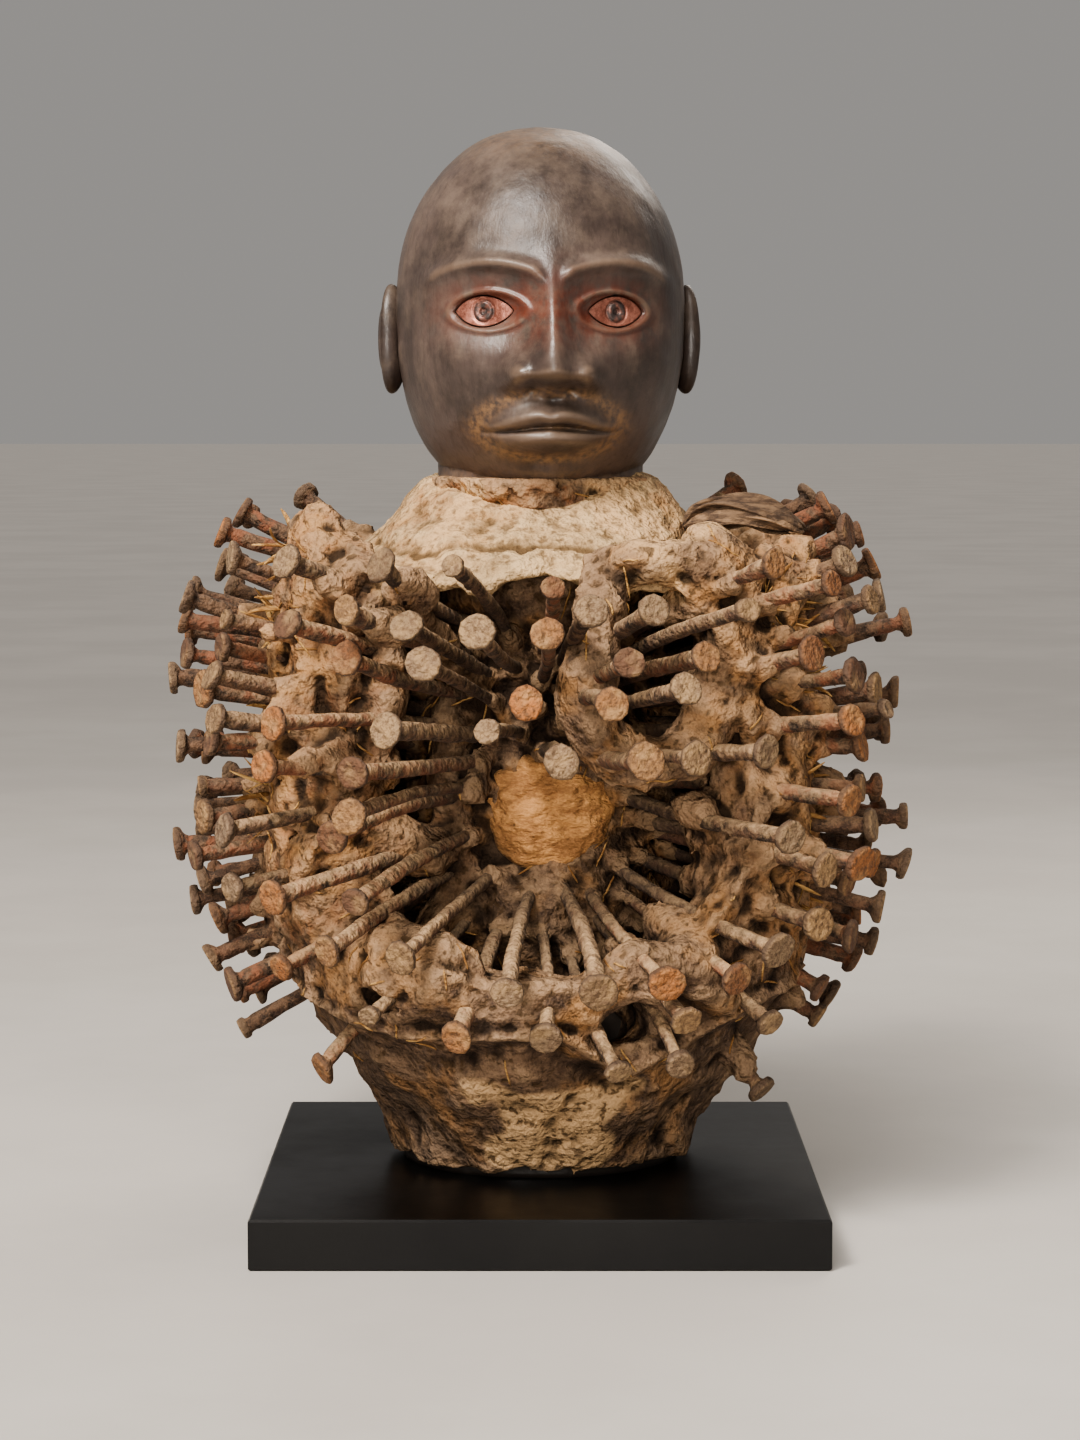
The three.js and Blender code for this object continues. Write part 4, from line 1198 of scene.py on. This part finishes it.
def add_nails(name, nails, chosen, material, steps=26, corners=12):
    """A piece made of the chosen nails, with each nail's tone and dust, and with the faces and edges of the
    heads and the way outward as values."""
    rings = nail_rings(nails, chosen, steps, corners)
    tone = np.random.default_rng(NAIL_TONES).uniform(0, 1, len(nails["root"]))[chosen]
    dust = 0.05 + 0.8 * ramp(0.2, 0.85, np.cos(nails["bearing"][chosen]))
    number = np.arange(rings.shape[1])
    cap = (number >= steps + NECK_RINGS).astype(float)

    def along_nail(values, ends):
        """A value for each ring of a nail, and one for each of its ends, at the points of every nail."""
        return np.tile(np.concatenate([np.repeat(values, corners), ends]), len(tone))

    values = {
        "tone": per_tube(tone, rings),
        "dust": per_tube(dust, rings),
        "cap": along_nail(cap, [0, 1]),
        "rim": along_nail(cap * (number < len(number) - 3), [0, 0]),
        "outward": along_nail(np.clip(number / steps, 0, 1), [0, 1]),
    }
    return add_tubes(name, rings, material, values)


def add_all_nails(nails, material):
    """Each nail of the model as its own piece in its node's place, then the nails held in the clay and the
    further ones."""
    middles = 0.5 * (nails["root"] + nails["top"])[: nails["fixed"]]
    held = np.ones(nails["fixed"], bool)
    for node in sorted(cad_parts):
        if node.startswith("nail_"):
            centre = unplaced(np.mean(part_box(node), axis=0))
            nearest = int(np.linalg.norm(middles - centre, axis=1).argmin())
            held[nearest] = False
            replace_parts(add_nails("iron_" + node, nails, [nearest], material), node)
    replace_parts(add_nails("nails_in_clay", nails, np.flatnonzero(held), material), "clay_crust")
    further = np.arange(nails["fixed"], len(nails["root"]))
    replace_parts(add_nails("further_nails", nails, further, material, 14, 9), "clay_crust")


def face_relief(side, up):
    """Height of the carved face forward of the egg of the head, a sum of bells: side is the distance from the
    middle of the face and up the height above the chin."""
    away = np.abs(side)
    from_eye = away - EYE_OFFSET
    up_eye = up - EYE_LINE * HEAD_HEIGHT
    brow_up = BROW_LINE * HEAD_HEIGHT + 6.5 * (1 - ((away - 22) / 22) ** 2)
    brow = 3.2 * bell(up - brow_up, 3) * ramp(1, 7, away) * (1 - ramp(38, 45, away))
    socket = -5 * bell(from_eye, 15.5) * bell(up_eye + 0.5, 8.5)
    almond = np.sqrt((from_eye / 12.6) ** 2 + (up_eye / 6.6) ** 2 * (1 + 0.25 * (from_eye / 12.6) ** 2))
    lids = 1.6 * bell(almond - 1, 0.16)
    along_nose = (up - NOSE_LINE * HEAD_HEIGHT) / ((BROW_LINE - NOSE_LINE) * HEAD_HEIGHT)
    ridge = (13.5 - 9.5 * ramp(0.16, 1, along_nose)) * bell(side, 10 - 4 * ramp(0.1, 0.7, along_nose))
    nose = ridge * ramp(-0.10, 0.17, along_nose) * (1 - ramp(0.95, 1.4, along_nose))
    wings = 7 * bell(away - 12, 4.4) * bell(up - 44, 5.2) * ramp(-0.16, 0.05, along_nose)
    nostrils = -3.6 * bell(away - 6.5, 3) * bell(up - 39.2, 2.2)
    up_mouth = up - MOUTH_LINE * HEAD_HEIGHT
    up_lips = up_mouth - (0.8 * np.cos(side / 20 * math.pi) - 0.4)
    upper_span = np.clip(1 - (side / 23) ** 2, 0, 1)
    lower_span = np.clip(1 - (side / 21) ** 2, 0, 1)
    upper = 5.8 * upper_span * bell(up_lips - 3.9 * np.sqrt(upper_span) + 0.9 * bell(side, 3), 3.3)
    lower = 6.4 * lower_span * bell(up_lips + 4.2 * np.sqrt(lower_span), 3.6)
    groove = -2.6 * np.sqrt(upper_span) * bell(up_lips, 0.9)
    philtrum = -0.9 * bell(side, 2.2) * bell(up_mouth - 9.5, 3)
    muzzle = 3.2 * bell(side, 22) * bell(up_mouth, 14)
    under_lip = -1.8 * bell(side, 13) * bell(up_mouth + 11, 3.4)
    chin = 4.2 * bell(side, 14) * bell(up - 7.5, 7.5)
    cheeks = 2.2 * bell(away - 31, 11) * bell(up_eye + 15, 10)
    temple = -1.6 * bell(away - 44, 8) * bell(up_eye - 18, 12)
    mouth = upper + lower + groove + philtrum + muzzle + under_lip + chin
    return brow + socket + lids + nose + wings + nostrils + mouth + cheeks + temple


def head_rings(columns=300, rings=260):
    """The head: an egg in horizontal slices, fuller at the jaw than at the crown, with the face's relief in
    front. The columns crowd towards the face, and the rings towards the crown."""
    middle, crown_start, even_share = 0.53, 0.64, 0.42
    spread_out = np.linspace(-1, 1, columns, endpoint=False)
    bearing = math.pi * (even_share * spread_out + (1 - even_share) * spread_out**3)
    rise = np.linspace(0, 1, rings)[1:-1]
    crown = crown_start + (1 - crown_start) * np.sin(0.5 * math.pi * (rise - crown_start) / (1 - crown_start))
    share = np.where(rise < crown_start, rise, crown)[:, None]
    fullness = np.where(share < middle, JAW_FULLNESS, CROWN_FULLNESS)
    away = np.where(share < middle, 1 - share / middle, (share - middle) / (1 - middle))
    slice_size = (1 - np.clip(away, 0, 1) ** fullness) ** (1 / fullness)
    side = HEAD_HALF_WIDTH * slice_size * np.sin(bearing)
    forward = HEAD_HALF_DEPTH * slice_size * np.cos(bearing)
    up = share * HEAD_HEIGHT + 0 * side
    front = ramp(0.12, 0.5, np.cos(bearing)) * ramp(0.02, 0.2, slice_size)
    forward = forward + front * face_relief(side, up)
    points = turned(np.stack([side, -forward, CHIN_HEIGHT + up], axis=-1), HEAD_TURN)
    dents = 0.45 * point_noise(points, 17.0, 61) + 0.2 * point_noise(points, 6.0, 62)
    return points + dents[..., None] * unit(points - [0, 0, CHIN_HEIGHT + 0.5 * HEAD_HEIGHT])


def ear_rings(side):
    """One ear: a rounded shell, dished on its outer face and with a low inner ridge. Rings run from its inner
    to its outer face."""
    tilt = np.linspace(math.pi, 0, 44)[1:-1, None]
    angle = np.linspace(0, 2 * math.pi, 48, endpoint=False)
    thickness, depth, height = EAR_SIZE
    outward = 0.5 * thickness * np.cos(tilt) + 0 * angle
    outward = outward - ramp(0, 0.5, np.cos(tilt)) * (4.2 * bell(tilt, 0.85) - 1.5 * bell(tilt - 0.55, 0.16))
    forward = 0.5 * depth * np.sin(tilt) * np.cos(angle)
    up = 0.5 * height * np.sin(tilt) * np.sin(angle)
    points = np.stack([outward, -forward, up], axis=-1)
    if side < 0:
        points = points[:, ::-1] * [-1, 1, 1]
    points = turned(points, side * EAR_TURN)
    points = points + [side * (HEAD_HALF_WIDTH + 1.5), 4, CHIN_HEIGHT + EAR_LINE * HEAD_HEIGHT]
    return turned(points, HEAD_TURN)


def body_rings(columns=150, rings=150):
    """The wooden body: rings at the radii of its profile, with adze marks and a foot less deep than wide."""
    height = np.linspace(BODY_PROFILE[0, 0], BODY_PROFILE[-1, 0], rings)[:, None]
    bearing = np.linspace(-math.pi, math.pi, columns, endpoint=False)
    radius = along(BODY_PROFILE, height) + 0 * bearing
    points = polar(radius, bearing, height)
    radius = radius + 0.7 * point_noise(points, 9.0, 71) + 0.35 * point_noise(points, 4.0, 72) - 0.4
    points = polar(radius, bearing, height)
    points[..., 1] *= FOOT_DEPTH_SHARE + (1 - FOOT_DEPTH_SHARE) * ramp(0, TRUNK_BOTTOM, height)
    return points


def in_socket(points, side, depth):
    """Turns flat points, with x across, y up and z out of the face, to lie in an eye socket at the given
    depth."""
    upright = np.stack([points[..., 0], -points[..., 2] - depth, points[..., 1]], axis=-1)
    upright = turned(upright, side * EYE_SLANT)
    middle = [side * EYE_OFFSET, -EYE_FLOOR * HEAD_HALF_DEPTH, CHIN_HEIGHT + EYE_LINE * HEAD_HEIGHT]
    return turned(upright + middle, HEAD_TURN)


def almond_ring(margin, corners=72):
    """The almond outline of an eye: half an ellipse with pointed ends above, and its mirror below."""
    angle = np.linspace(0, 2 * math.pi, corners, endpoint=False)
    wide = np.cos(angle)
    up = np.sign(np.sin(angle)) * (0.5 * EYE_HEIGHT - margin) * (1 - wide**2) ** 0.8
    return np.stack([wide * (0.5 * EYE_WIDTH - margin), up], axis=-1)


def loose_object(name, rings):
    """An object for joining and cutting, from rings of one closed tube."""
    points, quads, fans = closed_tubes(rings[None])
    mesh = bpy.data.meshes.new(name)
    mesh.from_pydata(placed(points).tolist(), [], quads.tolist() + fans.tolist())
    return link(name, mesh)


def joined(piece, others):
    """The piece's mesh after joining or cutting with each of the others, which are then removed."""
    for other, operation in others:
        modifier = piece.modifiers.new(other.name, "BOOLEAN")
        modifier.operation = operation
        modifier.solver = "MANIFOLD"
        modifier.object = other
    graph = bpy.context.evaluated_depsgraph_get()
    mesh = bpy.data.meshes.new_from_object(piece.evaluated_get(graph))
    for other, _ in others:
        bpy.data.objects.remove(other)
    bpy.data.objects.remove(piece)
    return mesh


def wood_tints(points):
    """Where the carving is painted with red and ochre earth, and dark low down on the body."""
    face = turned(points, -HEAD_TURN)
    side, up = face[:, 0], face[:, 2] - CHIN_HEIGHT
    front = ramp(10, 30, -face[:, 1])
    socket = bell(np.abs(side) - EYE_OFFSET, 14) * bell(up - EYE_LINE * HEAD_HEIGHT, 9)
    bridge = bell(side, 12) * bell(up - 66, 11)
    red = front * np.clip(1.1 * socket + 0.7 * bridge, 0, 1)
    ring = np.hypot(side / 24, (up - 27) / 11)
    lips = 0.75 * front * np.clip(bell(ring - 1, 0.16) + 0.7 * bell(up - 26.2, 1.0) * bell(side, 18), 0, 1)
    crown = ramp(112, 129, up) * 0.35 + 0.5 * ramp(0.0, 0.12, -front) + 0.55 * bell(up - 4, 7)
    charred = ramp(75, 60, points[:, 2])
    return {"red_earth": red, "ochre_earth": np.clip(lips + crown, 0, 1), "charred": charred}


def add_carved_figure(material):
    """The head, ears and body joined as one carving, with a pocket cut for each eye plate."""
    head = loose_object("head", head_rings())
    parts = [(loose_object("body", body_rings()), "UNION")]
    for side in (-1, 1):
        parts.append((loose_object("ear", ear_rings(side)), "UNION"))
    outline = almond_ring(0)
    levels = np.array([[0], [HEAD_HALF_WIDTH]]) + 0 * outline[:, 0]
    rings = np.stack([np.column_stack([outline, level]) for level in levels])
    for side in (-1, 1):
        parts.append((loose_object("pocket", in_socket(rings, side, 0)), "DIFFERENCE"))
    mesh = joined(head, parts)
    mesh.name = "carved_wood"
    points = np.zeros(len(mesh.vertices) * 3, np.float32)
    mesh.vertices.foreach_get("co", points)
    points = unplaced(points.reshape(-1, 3))
    values = {**wood_tints(points), "hollow": broad_hollows(mesh, points)}
    piece = finished_piece("carved_wood", mesh, material, values)
    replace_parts(piece, "carved_figure")


def add_eye(side, name, node, material):
    """An eye plate: an almond of copper, domed and beaten, with a ring and a hole for the iris. Its rings run
    from the middle of its back round its edge to the middle of its front."""
    edge = np.array([0, 0, 0, EYE_PLATE - 0.3, EYE_PLATE])[:, None]
    share = np.concatenate([[0.02, 0.5, 1.0, 1.0, 0.985], np.linspace(0.96, 0.02, 34)])[:, None]
    flat = almond_ring(CLEARANCE) * share[..., None]
    x, y = np.moveaxis(flat, -1, 0)
    distance = np.hypot(x, y)
    top = EYE_PLATE + EYE_BULGE * (1 - (2 * x / EYE_WIDTH) ** 2)
    top = top - 0.55 * bell(distance - 3.7, 0.45) - 1.0 * ramp(1.5, 0.9, distance)
    top = top + 0.25 * bell(distance - 2.6, 0.7)
    top = top + 0.22 * point_noise(np.stack([x, y, 0 * x + 9 * side], axis=-1), 2.7, 63)
    top[: len(edge)] = edge
    rings = in_socket(np.stack([x, y, top], axis=-1)[None], side, CLEARANCE)
    rim = np.where(share > 0.97, 1.0, 0.6 * ramp(0.9, 0.97, share)) + 0 * x
    values = {
        "iris": np.concatenate([ramp(4.2, 3.4, distance).ravel(), [0, 1]]),
        "rim": np.concatenate([rim.ravel(), [0, 0]]),
    }
    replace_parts(add_tubes(name, rings, material, values), node)


def add_belly_charge(material):
    """The ochre cushion on the trunk: a dome over an uneven rounded outline, grained and crumbling at its
    upper edge, with its back sunk in the crust."""
    angle = np.linspace(0, 2 * math.pi, 120, endpoint=False)
    ragged = 0.05 * np.sin(3 * angle + 1) + 0.03 * np.sin(5 * angle) + 0.015 * np.sin(13 * angle + 2)
    outline = 1 + ragged * (0.8 + 1.6 * ramp(0.2, 0.9, np.sin(angle)))
    share = np.concatenate([[0.02, 0.6, 1.0], np.linspace(1.0, 0.02, 60)])[:, None]
    front = np.concatenate([np.zeros(3), np.ones(60)])[:, None]
    wide = 0.5 * BELLY_WIDTH * share * outline * np.cos(angle)
    up = 0.5 * BELLY_TALL * share * outline * np.sin(angle)
    dome = BELLY_THICKNESS * np.sqrt(np.clip(1 - share**4, 0, 1)) + 0 * angle
    flat = np.stack([wide, 0 * wide, up], axis=-1)
    crumbs = 1.3 * point_noise(flat, 6.0, 81) + 0.8 * point_noise(flat, 2.6, 82)
    crumbs = crumbs + 0.4 * point_noise(flat, 1.4, 83)
    radius = TRUNK_RADIUS - 4 + front * (4 + dome + crumbs * ramp(1, 0.9, share))
    rings = polar(radius, BELLY_BEARING + wide / TRUNK_RADIUS, BELLY_HEIGHT + up)
    rim = np.concatenate([(ramp(0.8, 1.0, share) + 0 * angle).ravel(), [1, 0]])
    piece = add_tubes("belly_resin", rings[None], material, {"rim": rim})
    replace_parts(piece, "belly_charge")


def blade_rings(starts, runs, lengths, widths, draw):
    """Rings of dry blades: flat tapering tubes from each start along each run, curling to one side."""
    steps = np.linspace(0, 1, 7)
    first, second = across(runs)
    bend = draw.normal(0, 0.25, (len(starts), 2))
    sag = bend[:, :1] * first + bend[:, 1:] * second
    reached = steps[:, None] * runs[:, None] + (steps**2)[:, None] * sag[:, None]
    path = starts[:, None] + lengths[:, None, None] * reached
    taper = np.sqrt(np.clip(1 - steps**3, 0.04, 1)) * np.sqrt(np.clip(0.35 + 2 * steps, 0, 1))
    return tube_rings(path, widths[:, None] * taper, 5, 0.35, draw.uniform(0, 3.14, (len(starts), 1)))


def add_bundle(material):
    """The bundle on the shoulder: dry leaves laid side by side round the bundle's path and wound a little
    about it, as flat grooved tubes that are pointed at both ends. Each starts and ends at its own place."""
    draw = np.random.default_rng(LEAF_SHAPES)
    steps = np.linspace(0, 1, 30)
    half_width, start, end, sway, around = draw.uniform(0, 1, (5, LEAVES, 1))
    path = station_path(BUNDLE_STATIONS, len(steps))
    first, second = across(unit(np.gradient(path, axis=0)))
    angle = np.linspace(0, 2 * math.pi, LEAVES, endpoint=False)[:, None] + 0.6 * around + 1.3 * steps
    spindle = 0.35 + 0.65 * np.sin(math.pi * steps) ** 0.6
    spindle = spindle * (0.75 + 0.45 * sway + 0.1 * np.sin(7 * steps + 9 * around))
    leaves = path + BUNDLE_HALF_WIDTH * (spindle * np.cos(angle))[..., None] * first
    leaves = leaves + BUNDLE_HALF_DEPTH * (spindle * np.sin(angle))[..., None] * second
    taper = np.clip(7 * (steps - 0.15 * start + 0.02) * (0.85 + 0.17 * end - steps), 0.002, 1) ** 0.7
    turn = angle + math.pi / 2 + 1.5 * (around - 0.5) + 0.4 * np.sin(5 * steps + 6 * sway)
    rings = tube_rings(leaves, (1.8 + 2.6 * half_width) * taper, 20, 0.22, turn, 0.1)
    tone = per_tube(draw.uniform(0, 1, LEAVES), rings)
    piece = add_tubes("fibre_bundle_blades", rings, material, {"tone": tone})
    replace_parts(piece, "fibre_bundle")


def add_raffia(material):
    """Golden tufts of dry grass between the nails of both flanks, rooted in the clay."""
    draw = np.random.default_rng(TUFT_PLACES)
    starts, runs, lengths = [], [], []
    for radius, bearing, height, count in TUFTS:
        angle = math.radians(bearing) + draw.normal(0, 0.05, count)
        starts.append(polar(radius + draw.uniform(-4, 2, count), angle, height + draw.normal(0, 4, count)))
        lean = draw.normal(0, 1, (count, 3)) * [0.5, 0.5, 0.9]
        runs.append(unit(0.6 * polar(1.0, angle, 0.0) + lean))
        lengths.append(draw.uniform(7, 17, count))
    starts, runs, lengths = (np.concatenate(parts) for parts in (starts, runs, lengths))
    widths = draw.uniform(0.6, 1.25, len(starts))
    draw = np.random.default_rng(BLADE_SHAPES)
    rings = blade_rings(starts, runs, lengths, widths, draw)
    tone = per_tube(draw.uniform(0, 1, len(starts)), rings)
    piece = add_tubes("raffia_tufts", rings, material, {"tone": tone})
    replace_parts(piece, "clay_crust")


def add_chaff(clay, material):
    """Short straws lying on the clay: each starts at a point of the surface and follows it by falling back to
    the nearest face after each step, in metres."""
    draw = np.random.default_rng(STRAW_PLACES)
    mesh = clay.data
    tree = BVHTree.FromObject(clay, bpy.context.evaluated_depsgraph_get())
    paths = []
    for pick in draw.choice(len(mesh.vertices), STRAW_TRIES, replace=False):
        vertex = mesh.vertices[int(pick)]
        outward = Vector((vertex.co.x, vertex.co.y - FIGURE_SET_BACK / 1000, 0)).normalized()
        if vertex.normal.dot(outward) < 0.5 or vertex.co.z < LOWEST_STRAW:
            continue
        run = vertex.normal.cross(Vector(draw.normal(0, 1, 3))).normalized()
        step = draw.uniform(0.0012, 0.0026)
        point = vertex.co.copy()
        path = []
        for _ in range(6):
            place, normal, _, _ = tree.find_nearest(point)
            path.append(place + 0.00025 * normal)
            point = place + step * run
        paths.append(path)
        if len(paths) == STRAWS:
            break
    paths = unplaced(paths)
    radii = np.full(paths.shape[:2], STRAW_RADIUS) * [0.6, 1, 1, 1, 1, 0.5]
    rings = tube_rings(paths, radii, 5)
    tone = per_tube(draw.uniform(0, 1, len(paths)), rings)
    piece = add_tubes("chaff", rings, material, {"tone": tone})
    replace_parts(piece, "clay_crust")


def finish_plinth(material):
    """The plinth keeps its solid and gets its finish, with edges just broken."""
    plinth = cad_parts["plinth"]
    bevel = plinth.modifiers.new("broken_edges", "BEVEL")
    bevel.width = BROKEN_EDGE
    bevel.segments = 2
    plinth.data.materials.clear()
    plinth.data.materials.append(material)


# The plinth's broken edges, the camera and the light, in metres
BROKEN_EDGE = 0.0006
CAMERA_PLACE = (0.0, -1.1455, 0.2729)
CAMERA_PITCH = math.radians(5.05)
CAMERA_LENS = 82.3
SENSOR = 36.0
FLOOR = 60.0
BACKDROP_TINT = (0.52, 0.50, 0.48, 1)
BACKDROP_POWER = 0.55
SUN_POWER = 1.7
SUN_WIDTH = math.radians(24)
SUN_TINT = (1.0, 0.96, 0.91)
SUN_TURN = (math.radians(38), math.radians(-14), 0)
LIGHT_AIM = 0.2

# Soft lights: name, place, size, power and colour
LIGHTS = [
    ("key", (-0.5, -0.85, 1.2), 0.35, 25, (1.0, 0.94, 0.87)),
    ("front", (-0.1, -1.4, 0.3), 0.45, 10, (1.0, 0.95, 0.89)),
    ("back", (0.4, 0.9, 1.0), 0.6, 6, (1.0, 0.93, 0.84)),
]


def add_camera():
    """The camera at the photograph's angle: level with the face and pitched a little down."""
    camera = link("camera", bpy.data.cameras.new("camera"))
    camera.data.lens = CAMERA_LENS
    camera.data.sensor_width = SENSOR
    camera.location = CAMERA_PLACE
    camera.rotation_euler = (math.pi / 2 - CAMERA_PITCH, 0, 0)
    bpy.context.scene.camera = camera


def add_light(name, place, size, power, tint):
    """A soft square light that points at the middle of the figure."""
    light = bpy.data.lights.new(name, "AREA")
    light.shape = "SQUARE"
    light.size = size
    light.energy = power
    light.color = tint
    lamp = link(name, light)
    lamp.location = place
    aim = Vector((0, 0, LIGHT_AIM)) - Vector(place)
    lamp.rotation_euler = aim.to_track_quat("-Z", "Y").to_euler()


def add_sun():
    """Soft even light from high in front, which lights the floor alike near and far."""
    light = bpy.data.lights.new("overhead", "SUN")
    light.energy = SUN_POWER
    light.angle = SUN_WIDTH
    light.color = SUN_TINT
    link("overhead", light).rotation_euler = SUN_TURN


def add_studio():
    """A pale floor, soft even light from all round, a sun, a key light from above the camera and two weaker
    fills."""
    mesh = bpy.data.meshes.new("floor")
    corners = [(-FLOOR, -FLOOR, 0), (FLOOR, -FLOOR, 0), (FLOOR, FLOOR, 0), (-FLOOR, FLOOR, 0)]
    mesh.from_pydata(corners, [], [(0, 1, 2, 3)])
    mesh.materials.append(floor_material())
    floor = link("floor", mesh)
    world = bpy.data.worlds.new("studio")
    world.use_nodes = True
    backdrop = world.node_tree.nodes["Background"]
    backdrop.inputs["Color"].default_value = BACKDROP_TINT
    backdrop.inputs["Strength"].default_value = BACKDROP_POWER
    bpy.context.scene.world = world
    add_sun()
    for light in LIGHTS:
        add_light(*light)
    bpy.context.scene.view_settings.look = "AgX - Medium High Contrast"


def build():
    """Makes every piece of the figure and gives it its finish."""
    add_camera()
    add_studio()
    iron = iron_material()
    # each clay's last colour is its painted shade in the hollows, and the number before it how strongly its
    # pits are painted with shade
    earth = clay_material("dried_clay", "483930", "7e6550", "a88b6d", 0.5, 0.65, 0.85, "1f1610")
    pale_earth = clay_material("collar_clay", "7d6549", "b4956e", "cdb18a", 0.6, 0.3, 0.5, "5a452e")
    golden_fibre = fibre_material("golden_fibre", "7a532b", "c09a62")
    dark_fibre = fibre_material("dark_fibre", "3d2d21", "8d7156")
    nails = nail_layout()
    clay = add_cage(grid_axes(*CAGE_GRID), nails, earth)
    axes = grid_axes(*COLLAR_GRID)
    add_clay("clay_collar", collar_field(axes), axes, pale_earth)
    add_all_nails(nails, iron)
    add_carved_figure(wood_material())
    copper = copper_material()
    add_eye(1, "eye_plate_left", "eye_inlay_left", copper)
    add_eye(-1, "eye_plate_right", "eye_inlay_right", copper)
    add_belly_charge(resin_material())
    add_bundle(dark_fibre)
    add_raffia(golden_fibre)
    add_chaff(clay, golden_fibre)
    finish_plinth(plinth_material())


build()
